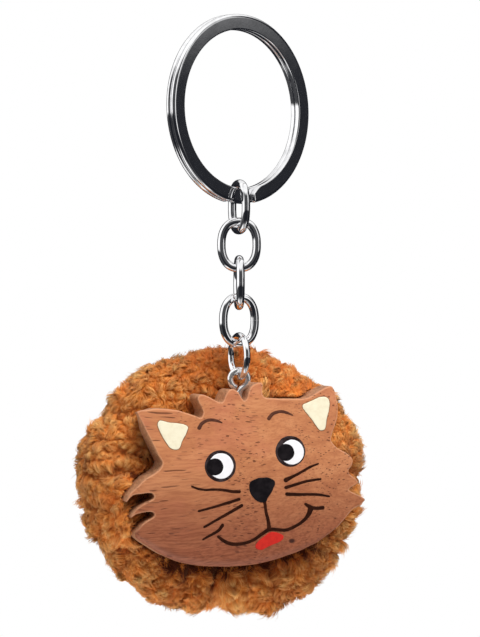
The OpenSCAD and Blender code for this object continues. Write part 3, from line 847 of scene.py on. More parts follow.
def face_paint():
    eyes = [((-3.92, -57.2), 2.50), ((7.55, -55.0), 2.47)]
    whites = [((-3.85, -57.2), 2.03), ((7.82, -55.13), 1.99)]
    pupils = [((-4.82, -57.33), 1.38), ((6.79, -55.16), 1.40)]
    # the dark disc lies under the white, and the white under the pupil, as painted
    film("eye_outline_discs", [circle(c, r, wob=0.03, seed=3 + i) for i, (c, r) in enumerate(eyes)], MAT_LINE_EYE, ["eye_outlines"], thick=0.06, seed=1)
    film("eye_white_discs", [circle(c, r, wob=0.02, seed=7 + i) for i, (c, r) in enumerate(whites)], MAT_WHITE, ["eye_whites"], thick=0.10, seed=2)
    film("pupil_discs", [circle(c, r, wob=0.02, seed=11 + i) for i, (c, r) in enumerate(pupils)], MAT_BLACK, ["pupils"], thick=0.145, seed=3)
    nose = smooth_outline([(0.75, -60.2), (0.95, -59.75), (1.45, -59.45), (2.1, -59.2), (2.9, -59.1), (3.75, -59.1), (4.4, -59.35), (4.85, -59.65), (4.95, -60.2), (4.7, -60.8), (4.4, -61.45), (4.05, -61.95), (3.75, -62.4), (3.55, -62.9), (3.1, -63.05), (2.45, -63.0), (1.8, -62.65), (1.3, -62.15), (0.95, -61.6), (0.75, -60.9)], 0.14)
    film("nose_patch", [nose], MAT_BLACK, ["nose"], thick=0.13, seed=4)
    ear_l = smooth_outline([(-13.5, -50.0), (-13.1, -50.0), (-12.0, -50.3), (-10.7, -50.4), (-9.55, -50.65), (-9.05, -51.05), (-9.15, -51.55), (-9.5, -52.35), (-10.0, -53.2), (-10.3, -54.1), (-10.65, -54.5), (-11.2, -54.55), (-11.9, -54.25), (-12.6, -53.3), (-13.25, -52.15), (-13.75, -50.95), (-13.8, -50.4)], 0.16)
    ear_r = smooth_outline([(9.75, -48.1), (9.8, -47.6), (10.65, -47.25), (11.8, -46.75), (12.6, -46.45), (13.5, -46.4), (14.1, -46.7), (14.3, -47.35), (14.15, -48.5), (13.75, -49.9), (13.45, -51.35), (13.1, -51.7), (12.6, -51.7), (12.15, -51.3), (11.15, -49.9), (10.15, -48.7)], 0.16)
    # a thin dark brown band showing just outside each cream ear patch
    film("ear_patch_rims", [spread(ear_l, 0.09), spread(ear_r, 0.09)], MAT_RIM, ["ear_patches"], thick=0.035, edge=0.05, seed=15)
    film("ear_patch_films", [ear_l, ear_r], MAT_CREAM, ["ear_patches"], thick=0.12, seed=5)
    tongue = smooth_outline([(4.25, -67.85), (5.1, -67.85), (5.9, -68.1), (6.45, -68.5), (6.35, -69.0), (5.7, -69.45), (4.7, -69.85), (3.75, -70.25), (2.95, -70.65), (2.3, -70.55), (1.9, -70.25), (1.95, -69.7), (2.6, -69.0), (3.3, -68.45)], 0.14)
    film("tongue_patch", [tongue], MAT_RED, ["tongue"], thick=0.1, seed=6)
    mouth = [
        stroke([(3.25, -62.85), (3.5, -64.5), (3.9, -66.1), (4.05, -67.2)], (0.5, 0.48, 0.55, 0.68)),
        stroke([(10.95, -64.2), (10.65, -65.0), (10.15, -65.7), (9.5, -66.3), (8.7, -66.8), (7.5, -67.35), (6.7, -67.55), (5.9, -67.5), (5.1, -67.4), (4.05, -67.4), (2.95, -68.05), (1.8, -68.85), (0.95, -69.25), (0.1, -69.5), (-1.0, -69.65), (-2.0, -69.6), (-2.8, -69.35), (-3.5, -68.95), (-4.2, -68.4)],
               (0.95, 0.75, 0.6, 0.52, 0.5, 0.52, 0.55, 0.5, 0.5, 0.62, 0.55, 0.5, 0.5, 0.5, 0.52, 0.55, 0.55, 0.52, 0.42)),
        stroke([(-3.55, -66.6), (-4.05, -67.3), (-4.75, -67.8), (-5.55, -68.2), (-6.6, -68.8)], (0.55, 0.5, 0.44, 0.4, 0.3)),
        stroke([(10.05, -63.45), (10.8, -63.9), (11.8, -64.15), (13.0, -64.1)], (0.42, 0.62, 0.5, 0.6)),
    ]
    film("mouth_strokes", mouth, MAT_LINE, ["mouth_lines"], spacing=0, thick=0.09, seed=7)
    whiskers = [
        stroke([(-8.45, -60.4), (-7.5, -60.75), (-6.3, -60.95), (-4.8, -60.9), (-3.15, -61.05), (-2.0, -61.25), (-0.85, -61.3)], (0.32, 0.34, 0.36, 0.38, 0.42, 0.48, 0.5)),
        stroke([(-7.4, -64.3), (-5.4, -63.8), (-3.1, -63.15), (-0.9, -62.5)], (0.34, 0.38, 0.44, 0.5)),
        stroke([(-6.45, -66.85), (-4.7, -65.85), (-2.6, -64.7), (-0.5, -63.5)], (0.36, 0.4, 0.46, 0.52)),
        stroke([(6.75, -59.55), (7.85, -59.05), (9.2, -58.4), (10.8, -57.55), (12.2, -57.05)], (0.75, 0.5, 0.42, 0.4, 0.25)),
        stroke([(6.75, -60.75), (8.35, -60.3), (10.0, -59.85), (11.65, -59.6), (12.6, -59.5)], (0.5, 0.46, 0.44, 0.4, 0.3)),
        stroke([(6.95, -61.8), (9.15, -61.9), (10.8, -61.9), (12.45, -62.0), (14.1, -62.3)], (0.58, 0.48, 0.44, 0.42, 0.28)),
    ]
    film("whisker_strokes", whiskers, MAT_LINE, ["whiskers"], spacing=0, thick=0.09, seed=8)
    brows = [
        stroke([(-7.25, -51.15), (-6.85, -50.5), (-6.15, -50.05), (-5.35, -49.9), (-4.35, -50.05), (-3.6, -50.35)], (0.6, 0.55, 0.5, 0.48, 0.42, 0.22)),
        stroke([(4.05, -49.75), (4.5, -49.2), (5.05, -48.85), (6.05, -48.65), (7.05, -48.85), (8.0, -49.25)], (0.6, 0.55, 0.5, 0.48, 0.42, 0.22)),
    ]
    film("eyebrow_strokes", brows, MAT_BROW, ["eyebrows"], spacing=0, thick=0.07, seed=9)


MAT_LINE_EYE = paint("eye_outline_paint", srgb(34, 22, 22), srgb(64, 54, 56), 0.4)


# ---------------------------------------------------------------- the plush ring
PC = np.array([-0.33, 10.6, -60.27])
RHO = 5.45
PILE = 0.95
# how far the pile reaches from the ring's middle, every 10 degrees from +X round by the top, as seen from the front
REACH = [
    22.75, 24, 23.75, 23, 23, 22, 22, 22, 22, 22, 21.75, 21.5, 22.25, 22.75, 23, 22.5, 24, 24.25,
    24, 23.25, 24, 22.5, 23.25, 22.75, 23.25, 22.5, 21.75, 21.5, 22.5, 23.75, 23.5, 23.75, 23.5, 23, 23, 23.25,
]
rng = np.random.default_rng(20)
N_FOLD = 24
FOLDS = (np.arange(N_FOLD) + rng.uniform(-0.28, 0.28, N_FOLD)) * TAU / N_FOLD
FOLD_DEEP = rng.uniform(0.45, 1.2, N_FOLD)
FOLD_TWIST = rng.uniform(-0.18, 0.18, N_FOLD)


def reach(theta):
    """The pile's reach at theta, smoothly between the listed values, with the list's own even part and its lumps."""
    v = np.array(REACH)
    q = (theta % TAU) / TAU * 36
    i = np.floor(q).astype(int) % 36
    t = q - np.floor(q)
    p0, p1, p2, p3 = v[(i - 1) % 36], v[i], v[(i + 1) % 36], v[(i + 2) % 36]
    lumpy = 0.5 * (2 * p1 + (p2 - p0) * t + (2 * p0 - 5 * p1 + 4 * p2 - p3) * t * t + (3 * p1 - p0 - 3 * p2 + p3) * t**3)
    even = np.convolve(np.tile(v, 3), np.ones(9) / 9, "same")[36:72]
    e1, e2 = even[i], even[(i + 1) % 36]
    return e1 + (e2 - e1) * t, lumpy


def tube_dirs(theta, phi):
    e = np.stack([np.cos(theta), 0 * theta, np.sin(theta)], 1)
    d = e * np.cos(phi)[:, None]
    d[:, 1] += np.sin(phi)
    return e, d


def fold_at(theta, phi):
    """How deep in a gather the point lies, 0 to about 1, and the groove's depth in mm."""
    inner = 0.5 - 0.5 * np.cos(phi)
    low = 0.5 - 0.5 * np.sin(theta)
    g = np.zeros(len(theta))
    depth = np.zeros(len(theta))
    for t, k, tw in zip(FOLDS, FOLD_DEEP, FOLD_TWIST):
        diff = (theta + tw * np.sin(phi) - t + math.pi) % TAU - math.pi
        w = (0.65 + 0.5 * (1 - inner)) / 17.0
        bell = np.exp(-((diff / w) ** 2)) * k
        g = np.maximum(g, bell * (0.25 + 0.75 * inner + 0.3 * low))
        depth = np.maximum(depth, bell * (0.15 + 0.85 * inner + 0.45 * low))
    return g, depth


CURLS = np.random.default_rng(31)
N_CT, N_CF = 50, 9
_i, _j = np.meshgrid(np.arange(N_CT), np.arange(N_CF), indexing="ij")
CURL = np.stack([(_i + 0.5 * (_j % 2) + CURLS.uniform(-0.42, 0.42, _i.shape)) / N_CT, (_j + CURLS.uniform(-0.42, 0.42, _i.shape)) / N_CF], -1).reshape(-1, 2) % 1.0
N_LT, N_LF = 88, 27
_i, _j = np.meshgrid(np.arange(N_LT), np.arange(N_LF), indexing="ij")
LOCK = np.stack([(_i + 0.5 * (_j % 2) + CURLS.uniform(-0.45, 0.45, _i.shape)) / N_LT, (_j + CURLS.uniform(-0.45, 0.45, _i.shape)) / N_LF], -1).reshape(-1, 2) % 1.0


def cells(theta, phi, centres, ct, cf):
    """The nearest two of the centres to each point: the nearest's number, its distance and the second distance, in cells."""
    from mathutils.kdtree import KDTree

    tree = KDTree(len(centres) * 9)
    k = 0
    for dx in (-1, 0, 1):
        for dy in (-1, 0, 1):
            for i, c in enumerate(centres):
                if -0.12 < c[0] + dx < 1.12 and -0.3 < c[1] + dy < 1.3:
                    tree.insert(((c[0] + dx) * ct, (c[1] + dy) * cf, 0), i)
    tree.balance()
    u = (theta % TAU) / TAU * ct
    v = (phi % TAU) / TAU * cf
    num = np.empty(len(u), int)
    d1 = np.empty(len(u))
    d2 = np.empty(len(u))
    for i in range(len(u)):
        a, b = tree.find_n((u[i], v[i], 0), 2)
        num[i], d1[i], d2[i] = a[1], a[2], b[2]
    return num, d1, d2


def wobble(theta, phi, seed):
    """Theta and phi, bent a little, so that the curls have uneven sides."""
    q = np.stack([np.cos(theta) * 17, np.sin(theta) * 17, 0 * theta], 1) + np.stack([np.cos(phi) * 5, 0 * phi, np.sin(phi) * 5], 1)
    return theta + 0.030 * value_noise(q, 2.2, seed), phi + 0.13 * value_noise(q, 2.2, seed + 1)


# the board's outline without the left cheek's notches
OUTER = [q for q in HEAD if not (-17.2 < q[0] < -12 and -67.2 < q[1] < -58.6)]


def cover_point(theta, phi, shrink=0.0, curls=True):
    """A point of the cover's cloth, its direction from the tube's middle, how deep it lies in a crease (0 to 1), and how near the seam."""
    e, d = tube_dirs(theta, phi)
    even, lumpy = reach(theta)
    out = 0.5 + 0.5 * np.cos(phi)
    r_mid = even - RHO - PILE
    c = e * r_mid[:, None]
    c[:, 0] /= math.cos(AZ)
    c += PC
    p0 = c + d * RHO
    lump = (lumpy - even) * out**0.7 + 0.22 * value_noise(p0, 6.0, 41)
    g, depth = fold_at(theta, phi)
    crease = np.clip(g, 0, 1)
    bump = 0
    if curls:
        t2, f2 = wobble(theta, phi, 51)
        _, a1, a2 = cells(t2, f2, CURL, N_CT, N_CF)
        edge = np.clip((a2 - a1) / 0.55, 0, 1)
        puff = np.sqrt(edge) - 0.35 * np.clip(a1, 0, 1) ** 2
        _, b1, b2 = cells(t2, f2, LOCK, N_LT, N_LF)
        edge2 = np.clip((b2 - b1) / 0.6, 0, 1)
        bump = 0.30 * puff + 0.18 * np.sqrt(edge2) - 0.28
        crease = np.maximum(crease, 0.55 * (1 - edge) ** 1.5)
        crease = np.maximum(crease, 0.35 * (1 - edge2) ** 1.5)
    seam = np.exp(-((((phi - math.pi + math.pi) % TAU - math.pi) * RHO / 0.55) ** 2))
    # thicker where the neck of the left ear would let one look past it into the ring's middle
    turn = (theta - math.radians(160) + math.pi) % TAU - math.pi
    fill = 1.5 * np.exp(-((turn / 0.30) ** 2)) * (1 - out)
    rho = RHO + lump - depth + bump + fill - 0.5 * seam - shrink
    p = c + d * rho[:, None]
    if curls:
        # pressed against the board, the plush swells forwards round the left cheek's tufts
        turn = (theta - math.radians(196) + math.pi) % TAU - math.pi
        turn2 = (theta - math.radians(50) + math.pi) % TAU - math.pi
        w = np.clip(1.2 - np.abs(turn) / 0.37, 0, 1) + np.clip(1.3 - np.abs(turn2) / 0.22, 0, 1)
        w *= smooth(9.5, 6.0, p[:, 1])
        idx = np.nonzero(w > 0.01)[0]
        if len(idx):
            near, inside = edge_distance(p[idx][:, [0, 2]], np.array(HEAD, float))
            near = np.where(inside, 0, near)
            _, notch = edge_distance(p[idx][:, [0, 2]], np.array(OUTER, float))
            push = smooth(0.0, 0.16, near) * np.exp(-((np.maximum(near - 0.6, 0) / 2.4) ** 2)) * np.where(notch, 0.80, 1)
            p[idx, 1] -= 4.8 * w[idx] * push
    return p, d, crease, seam


class Cover:
    """The cover's cloth as a grid, with its normals, and smooth look-up in it."""

    def __init__(self, nt, nf):
        self.nt, self.nf = nt, nf
        t, f = np.meshgrid(np.arange(nt) * TAU / nt, np.arange(nf) * TAU / nf, indexing="ij")
        p, d, g, seam = cover_point(t.ravel(), f.ravel())
        self.p = p.reshape(nt, nf, 3)
        du = np.roll(self.p, -1, 0) - np.roll(self.p, 1, 0)
        dv = np.roll(self.p, -1, 1) - np.roll(self.p, 1, 1)
        n = np.cross(du, dv)
        n /= np.linalg.norm(n, axis=2)[:, :, None]
        n *= np.sign((n * d.reshape(nt, nf, 3)).sum(2))[:, :, None]
        self.n = n
        soft = n
        for _ in range(3):
            soft = (soft * 2 + np.roll(soft, 1, 0) + np.roll(soft, -1, 0) + np.roll(soft, 1, 1) + np.roll(soft, -1, 1)) / 6
        self.soft = soft / np.linalg.norm(soft, axis=2)[:, :, None]
        self.g = g.reshape(nt, nf)
        self.seam = seam.reshape(nt, nf)

    def at(self, theta, phi, field):
        u, v = (theta % TAU) / TAU * self.nt, (phi % TAU) / TAU * self.nf
        i, j = np.floor(u).astype(int) % self.nt, np.floor(v).astype(int) % self.nf
        a, b = u - np.floor(u), v - np.floor(v)
        i2, j2 = (i + 1) % self.nt, (j + 1) % self.nf
        if field.ndim == 3:
            a, b = a[:, None], b[:, None]
        return field[i, j] * (1 - a) * (1 - b) + field[i2, j] * a * (1 - b) + field[i, j2] * (1 - a) * b + field[i2, j2] * a * b


def tube_quads(n_theta, n_phi, p, d):
    i, j = np.meshgrid(np.arange(n_theta), np.arange(n_phi), indexing="ij")
    a = i * n_phi + j
    b = i * n_phi + (j + 1) % n_phi
    c = ((i + 1) % n_theta) * n_phi + (j + 1) % n_phi
    e = ((i + 1) % n_theta) * n_phi + j
    q = np.stack([a.ravel(), b.ravel(), c.ravel(), e.ravel()], 1)
    uv = np.stack([np.stack([i, i, i + 1, i + 1], -1) / n_theta, np.stack([j, j + 1, j + 1, j], -1) / n_phi], -1).reshape(-1, 4, 2)
    n = np.cross(p[q[0, 1]] - p[q[0, 0]], p[q[0, 3]] - p[q[0, 0]])
    if n @ d[0] < 0:
        q, uv = q[:, ::-1], uv[:, ::-1]
    return np.ascontiguousarray(q), uv


def set_uv(ob, uv):
    layer = ob.data.uv_layers.new(name="OFBake")
    layer.data.foreach_set("uv", np.ascontiguousarray(uv, np.float32).ravel())


def in_head(x, z, grow=0.0):
    q = np.stack([x, z], 1)
    near, inside = edge_distance(q, np.array(HEAD, float))
    return inside | (near < grow)


def attribute(ob, name, data):
    me = ob.data
    at = me.attributes.new(name, "FLOAT_COLOR", "POINT")
    rgba = np.concatenate([data, np.ones((len(data), 1))], 1).astype(np.float32)
    at.data.foreach_set("color", rgba.ravel())


def pile_colours(m, along, tint, crease, p):
    """Golden brown pile, with painted shade: dark and red at its roots and in the creases, pale at its tips."""
    col = m.ramp(along, [(0.0, srgb(214, 114, 42)), (0.28, srgb(238, 148, 62)), (0.58, srgb(250, 174, 90)), (1.0, srgb(255, 206, 134))])
    patch = m.noise(p, 0.13, 2, 0.5).outputs[0]
    x, y, z = m.separate(p)[:3]
    golden = m.map(m.math("SUBTRACT", z, m.math("MULTIPLY", x, 1.0)), -66.0, -44.0)
    col = m.mix(m.math("MULTIPLY", m.map(patch, 0.42, 0.66, 0.10, 0.45), m.math("SUBTRACT", 1.0, m.math("MULTIPLY", golden, 0.5))), col, srgb(218, 122, 50))
    # darker and redder across the top middle
    high = m.math("MULTIPLY", m.map(z, -50.0, -38.0), m.map(m.math("ABSOLUTE", m.math("SUBTRACT", x, 1.0)), 6.0, 15.0, 1.0, 0.25))
    col = m.mix(m.math("MULTIPLY", high, 0.70), col, srgb(190, 94, 36))
    # tint: pale where high, redder where low; it carries random tone and the painted highlight on each lock's crown
    col = m.mix(m.map(tint, 0.5, 1.0, 0.0, 0.85), col, srgb(255, 204, 128))
    col = m.mix(m.map(tint, 0.5, 0.0, 0.0, 0.55), col, srgb(214, 120, 50))
    # painted shade: where crease is high (folds, and for the fibres also lock edges and the painted shadow under the
    # chin) the pile turns darker and redder
    col = m.mix(m.math("MULTIPLY", crease, 0.85), col, srgb(184, 82, 32))
    return m.mix(m.map(crease, 0.66, 1.0, 0.0, 0.92), col, srgb(84, 34, 18))


def pile_material():
    m = Nodes("plush_pile")
    at = m.add("ShaderNodeAttribute")
    at.attribute_type = "GEOMETRY"
    at.attribute_name = "pile"
    r, g, b = m.separate(at.outputs["Color"])[:3]
    p = m.mm()
    fleck = m.noise(p, 2.4, 2, 0.6).outputs[0]
    along = m.math("ADD", r, m.math("MULTIPLY", m.math("SUBTRACT", fleck, 0.5), 0.35))
    m.set(Base_Color=pile_colours(m, along, g, b, p), Roughness=m.map(fleck, 0.3, 0.7, 0.7, 0.85))
    m.bsdf.inputs["Specular IOR Level"].default_value = 0.25
    m.bsdf.inputs["Sheen Weight"].default_value = 0.35
    m.bsdf.inputs["Sheen Roughness"].default_value = 0.5
    m.bsdf.inputs["Sheen Tint"].default_value = (1.0, 0.66, 0.34, 1)
    return m.mat


def backing_material():
    m = Nodes("plush_backing")
    at = m.add("ShaderNodeAttribute")
    at.attribute_type = "GEOMETRY"
    at.attribute_name = "pile"
    r, g, b = m.separate(at.outputs["Color"])[:3]
    p = m.mm()
    fuzz = m.noise(p, 3.5, 3, 0.7).outputs[0]
    along = m.math("ADD", r, m.math("MULTIPLY", m.math("SUBTRACT", fuzz, 0.5), 0.9))
    m.set(Base_Color=pile_colours(m, along, g, b, p), Roughness=m.map(fuzz, 0.3, 0.7, 0.8, 0.95))
    m.set(Normal=m.bump(fuzz, 0.6, 0.0002))
    m.bsdf.inputs["Specular IOR Level"].default_value = 0.1
    m.bsdf.inputs["Sheen Weight"].default_value = 0.3
    m.bsdf.inputs["Sheen Tint"].default_value = (1.0, 0.78, 0.5, 1)
    return m.mat


def filling_material():
    m = Nodes("filling")
    p = m.mm()
    n = m.noise(p, 1.2, 4, 0.7).outputs[0]
    m.set(Base_Color=m.mix(n, (0.72, 0.70, 0.66), (0.92, 0.91, 0.88)), Roughness=m.map(n, 0.2, 0.8, 0.8, 0.95))
    m.set(Normal=m.bump(n, 0.8, 0.0004))
    return m.mat


MAT_PILE = pile_material()
MAT_BACKING = backing_material()
MAT_FILL = filling_material()


def scatter(n, seed):
    """n points spread evenly over the tube: theta, phi."""
    r = np.random.default_rng(seed)
    out_t, out_f, got = [], [], 0
    while got < n:
        t = r.uniform(0, TAU, 2 * n)
        f = r.uniform(0, TAU, 2 * n)
        keep = r.uniform(0, 1, 2 * n) < (16.8 + RHO * np.cos(f)) / (16.8 + RHO)
        out_t.append(t[keep])
        out_f.append(f[keep])
        got += keep.sum()
    return np.concatenate(out_t)[:n], np.concatenate(out_f)[:n]


def unit(v):
    return v / np.maximum(np.linalg.norm(v, axis=1), 1e-9)[:, None]


def plush_ring():
    nt, nf = ((560, 160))
    cover = Cover(nt, nf)
    flat_p = cover.p.reshape(-1, 3)
    t, f = np.meshgrid(np.arange(nt) * TAU / nt, np.arange(nf) * TAU / nf, indexing="ij")
    _, d = tube_dirs(t.ravel(), f.ravel())
    q, uv = tube_quads(nt, nf, flat_p, d)
    base_p = flat_p.copy()
    idx = np.nonzero(base_p[:, 1] < 4.25)[0]
    if len(idx):
        base_p[idx, 1] = np.where(in_head(base_p[idx, 0], base_p[idx, 2], 0.05), 4.25, base_p[idx, 1])
    back_me = make_mesh("plush_cloth", base_p, q, MAT_BACKING, "pendant", replaces=["plush_cover"])
    set_uv(back_me, uv)
    tone = 0.5 + 0.30 * value_noise(flat_p, 7.0, 71) + 0.20 * value_noise(flat_p, 2.4, 72)
    # the cloth's colour: mid-way along the ramp, darker and redder in the folds as painted shade, with a random tone
    attribute(back_me, "pile", np.stack([np.clip(0.50 - 0.35 * cover.g.ravel(), 0, 1), np.clip(tone, 0, 1), cover.g.ravel()], 1))
    # the filling
    mt, mf = 150, 36
    t, f = np.meshgrid(np.arange(mt) * TAU / mt, np.arange(mf) * TAU / mf, indexing="ij")
    p, d, _, _ = cover_point(t.ravel(), f.ravel(), 1.6, curls=False)
    q, uv = tube_quads(mt, mf, p, d)
    fill = make_mesh("ring_stuffing", p, q, MAT_FILL, "pendant", replaces=["ring_filling"])
    set_uv(fill, uv)

    n = 104000
    ft, ff = scatter(n, 8)
    order = np.argsort(ft % TAU)
    ft, ff = ft[order], ff[order]
    fp, fn = cover.at(ft, ff, cover.p), unit(cover.at(ft, ff, cover.n))
    soft = unit(cover.at(ft, ff, cover.soft))
    fg, fs = cover.at(ft, ff, cover.g), cover.at(ft, ff, cover.seam)
    t2, f2 = wobble(ft, ff, 51)
    lock, ld1, _ = cells(t2, f2, LOCK, N_LT, N_LF)
    curl, cd1, _ = cells(t2, f2, CURL, N_CT, N_CF)
    lock_p = cover.at(LOCK[:, 0] * TAU, LOCK[:, 1] * TAU, cover.p)
    curl_p = cover.at(CURL[:, 0] * TAU, CURL[:, 1] * TAU, cover.p)
    r = np.random.default_rng(9)
    rl = np.random.default_rng(7)
    # each lock has its own lean: with the lay of the cloth, its curl's turn and a turn of its own
    lean_c = rl.normal(0, 1, (len(CURL), 3))
    lean_l = rl.normal(0, 1, (len(LOCK), 3))
    flow = np.stack([value_noise(fp, 6.0, 61), value_noise(fp, 6.0, 62), value_noise(fp, 6.0, 63) - 0.3], 1)
    lean = 0.50 * flow + 0.30 * lean_c[curl] + 0.38 * lean_l[lock]
    to_c = curl_p[curl] - fp
    to_l = lock_p[lock] - fp
    lean = lean + 0.10 * to_c
    lean -= fn * (lean * fn).sum(1)[:, None]
    lean = unit(lean) * np.clip(np.linalg.norm(lean, axis=1), 0, 1.0)[:, None]
    stray = r.uniform(0, 1, n) < 0.05
    long = (1 + np.clip(rl.normal(0, 0.20, len(LOCK)), -0.35, 0.45))[lock]
    tall = PILE * long * np.where(stray, r.uniform(0.95, 1.3, n), r.uniform(0.72, 1.05, n))
    tall *= (1 - 0.35 * np.clip(fg, 0, 1)) * (1 - 0.6 * fs)
    flame = (rl.uniform(0, 1, len(LOCK)) < 0.45)[lock]
    tall *= np.where(flame, 1.32, 0.92)
    pull = np.where(stray, 0.1, np.where(flame, 0.86, 0.38))
    along = unit(to_l) * np.clip(np.linalg.norm(to_l, axis=1), 0, 0.8)[:, None]
    along -= fn * (along * fn).sum(1)[:, None]
    tip = fp + fn * (0.78 * tall)[:, None] + lean * (1.62 * tall)[:, None] + along * pull[:, None] + r.normal(0, 1, (n, 3)) * np.where(stray, 0.28, 0.08)[:, None]
    bend = fp + fn * (0.72 * tall)[:, None] + (tip - fp) * 0.22
    turn = unit(np.cross(fn, lean_l[lock] + 0.35 * r.normal(0, 1, (n, 3))))
    turn2 = np.cross(fn, turn)
    phase = (rl.uniform(0, TAU, len(LOCK)))[lock] + r.normal(0, 0.4, n)
    segs = 3
    s = np.linspace(0, 1, segs + 1)
    width = np.where(stray, 0.034, 0.050) * r.uniform(0.85, 1.2, n) * 1.0
    pts = []
    for t in s:
        b = fp * (1 - t) ** 2 + bend * (2 * t * (1 - t)) + tip * t * t
        a = phase + t * 4.2
        amp = 0.13 * t
        pts.append(b + turn * (np.cos(a) * amp)[:, None] + turn2 * (np.sin(a) * amp)[:, None])
    pts[0] = fp - fn * 0.10
    pts = np.stack(pts, 1)
    # nothing grows into the board
    flat = pts.reshape(-1, 3)
    idx = np.nonzero(flat[:, 1] < 4.14)[0]
    hit = idx[in_head(flat[idx, 0], flat[idx, 2], 0.10)]
    low = np.zeros(len(flat), bool)
    low[hit] = True
    clash = low.reshape(pts.shape[:2]).any(1) & (fp[:, 1] < 3.9)
    flat[hit, 1] = 4.14 + 0.10 * np.random.default_rng(10).uniform(0, 1, len(hit))
    pts = flat.reshape(pts.shape)
    # fibres pressed against the board's edge stand up along it
    up = fp[clash][:, None, :] + np.array([0.0, -0.85, 0.0]) * (tall[clash][:, None] * s[None])[:, :, None]
    pts[clash] = up + r.normal(0, 0.07, up.shape) * s[None, :, None]
    # three-sided tapered bodies
    tan = np.gradient(pts, axis=1)
    tan /= np.maximum(np.linalg.norm(tan, axis=2), 1e-9)[:, :, None]
    ref = unit(np.cross(fn, r.normal(0, 1, (n, 3))))
    u = np.cross(tan, ref[:, None, :])
    u /= np.maximum(np.linalg.norm(u, axis=2), 1e-9)[:, :, None]
    v = np.cross(tan, u)
    prof = np.array([1.0, 1.05, 0.80])
    verts = np.empty((n, segs * 3 + 1, 3))
    norms = np.empty((n, segs * 3 + 1, 3))
    lift = soft * 0.80 - to_l * 0.30
    for k in range(segs):
        for c in range(3):
            a = TAU * c / 3
            side = u[:, k] * math.cos(a) + v[:, k] * math.sin(a)
            verts[:, k * 3 + c] = pts[:, k] + side * (width * prof[k])[:, None]
            norms[:, k * 3 + c] = unit(lift + 0.30 * side)
    verts[:, -1] = pts[:, -1]
    norms[:, -1] = unit(lift + 0.2 * tan[:, -1])
    m = segs * 3 + 1
    tri = [(0, 2, 1)]
    for k in range(segs - 1):
        for c in range(3):
            c2 = (c + 1) % 3
            a, b, d_, e = k * 3 + c, k * 3 + c2, (k + 1) * 3 + c2, (k + 1) * 3 + c
            tri += [(a, b, d_), (a, d_, e)]
    k = segs - 1
    for c in range(3):
        tri.append((k * 3 + c, k * 3 + (c + 1) % 3, m - 1))
    tri = np.array(tri)
    tt = np.repeat(np.concatenate([np.repeat(s[:-1], 3), [1.0]])[None], n, 0)
    tint_l = rl.normal(0, 0.13, len(LOCK))
    tint_c = rl.normal(0, 0.07, len(CURL))
    # painted highlight and shade: tint is raised at each lock's crown and deep at its edges, so every lock looks lit on
    # its crown and shaded between locks
    crown = np.clip(np.linalg.norm(to_l, axis=1) / 0.85, 0, 1)
    tint = np.clip(0.5 + 0.20 * value_noise(fp, 7.0, 71) + tint_l[lock] + tint_c[curl] + 0.42 * (0.55 - crown) + np.where(flame, 0.08, -0.04) + r.normal(0, 0.06, n), 0, 1)
    # painted shadow: dark right under the chin and a little all along the board's outline
    below, within = edge_distance(fp[:, [0, 2]], np.array(HEAD, float))
    below = np.where(within, 0, below)
    shade = 0.95 * np.exp(-((below / 1.9) ** 2)) * smooth(-66.0, -69.5, fp[:, 2]) * smooth(-16.0, -10.0, fp[:, 0]) + 0.14 * np.exp(-((below / 1.3) ** 2))
    # deep is the painted shade: folds and curl edges, lock edges, and the shadow by the board
    deep = np.clip(0.85 * fg + 0.20 * crown**2 + shade * (fp[:, 1] < 9.5), 0, 1)
    inside = in_head(pts[:, :, 0].ravel(), pts[:, :, 2].ravel(), 0.03).reshape(n, -1) & (pts[:, :, 1] < 4.1)
    keep = ~(clash & inside.any(1))
    verts, norms, tt, tint, deep = verts[keep], norms[keep], tt[keep], tint[keep], deep[keep]
    n = int(keep.sum())
    per = 12300
    parts = int(math.ceil(n / per))
    for i in range(parts):
        a, b = i * n // parts, (i + 1) * n // parts
        cnt = b - a
        faces = (tri[None] + (np.arange(cnt) * m)[:, None, None]).reshape(-1, 3)
        ob = make_mesh(f"plush_pile_{i + 1}", verts[a:b].reshape(-1, 3), faces, MAT_PILE, "pendant")
        # pile channels: root-to-tip position, tint (random tone and painted crown highlight), painted shade
        attribute(ob, "pile", np.stack([tt[a:b].ravel(), np.repeat(tint[a:b], m), np.repeat(deep[a:b], m)], 1))
        # one small cell of the map for each fibre, its root at the bottom
        cols = int(math.ceil(math.sqrt(cnt)))
        uv = np.empty((cnt, m, 2))
        cx, cy = np.arange(cnt) % cols, np.arange(cnt) // cols
        side = np.concatenate([np.tile([0.2, 0.5, 0.8], segs), [0.5]])
        uv[:, :, 0] = (cx[:, None] + side[None]) / cols
        uv[:, :, 1] = (cy[:, None] + 0.1 + 0.8 * tt[a:b]) / cols
        set_uv(ob, uv.reshape(-1, 2)[faces.ravel()])
        ob.data.normals_split_custom_set_from_vertices(norms[a:b].reshape(-1, 3).astype(np.float32))
        ob.parent = back_me


def stitches():
    allp, allf = [], []
    base = 0
    k = 8
    for i in range(30):
        th = TAU * (i + 0.5) / 30
        y = np.linspace(-1.0, 1.0, 15)
        phi = math.pi - y / RHO
        p, d, _, _ = cover_point(np.full(15, th) + 0.02 * y, phi, curls=False)
        lift = 0.95 - 0.62 * np.abs(y) ** 3
        c = p + d * lift[:, None]
        along = np.gradient(c, axis=0)
        along = unit(along)
        side = unit(np.cross(along, d))
        for ply in (0, 1):
            a = y * 5.2 + ply * math.pi
            q = c + side * (0.11 * np.cos(a))[:, None] + d * (0.11 * np.sin(a))[:, None]
            ang = np.arange(k) * TAU / k
            sec = np.stack([np.cos(ang), np.sin(ang)], 1) * 0.13
            pts, faces = sweep(q, (side, d), sec)
            allp.append(pts)
            allf += [tuple(x + base for x in f) for f in faces]
            base += len(pts)
    make_mesh("seam_thread", np.vstack(allp), allf, MAT_THREAD, "pendant", replaces=["seam_stitches"])


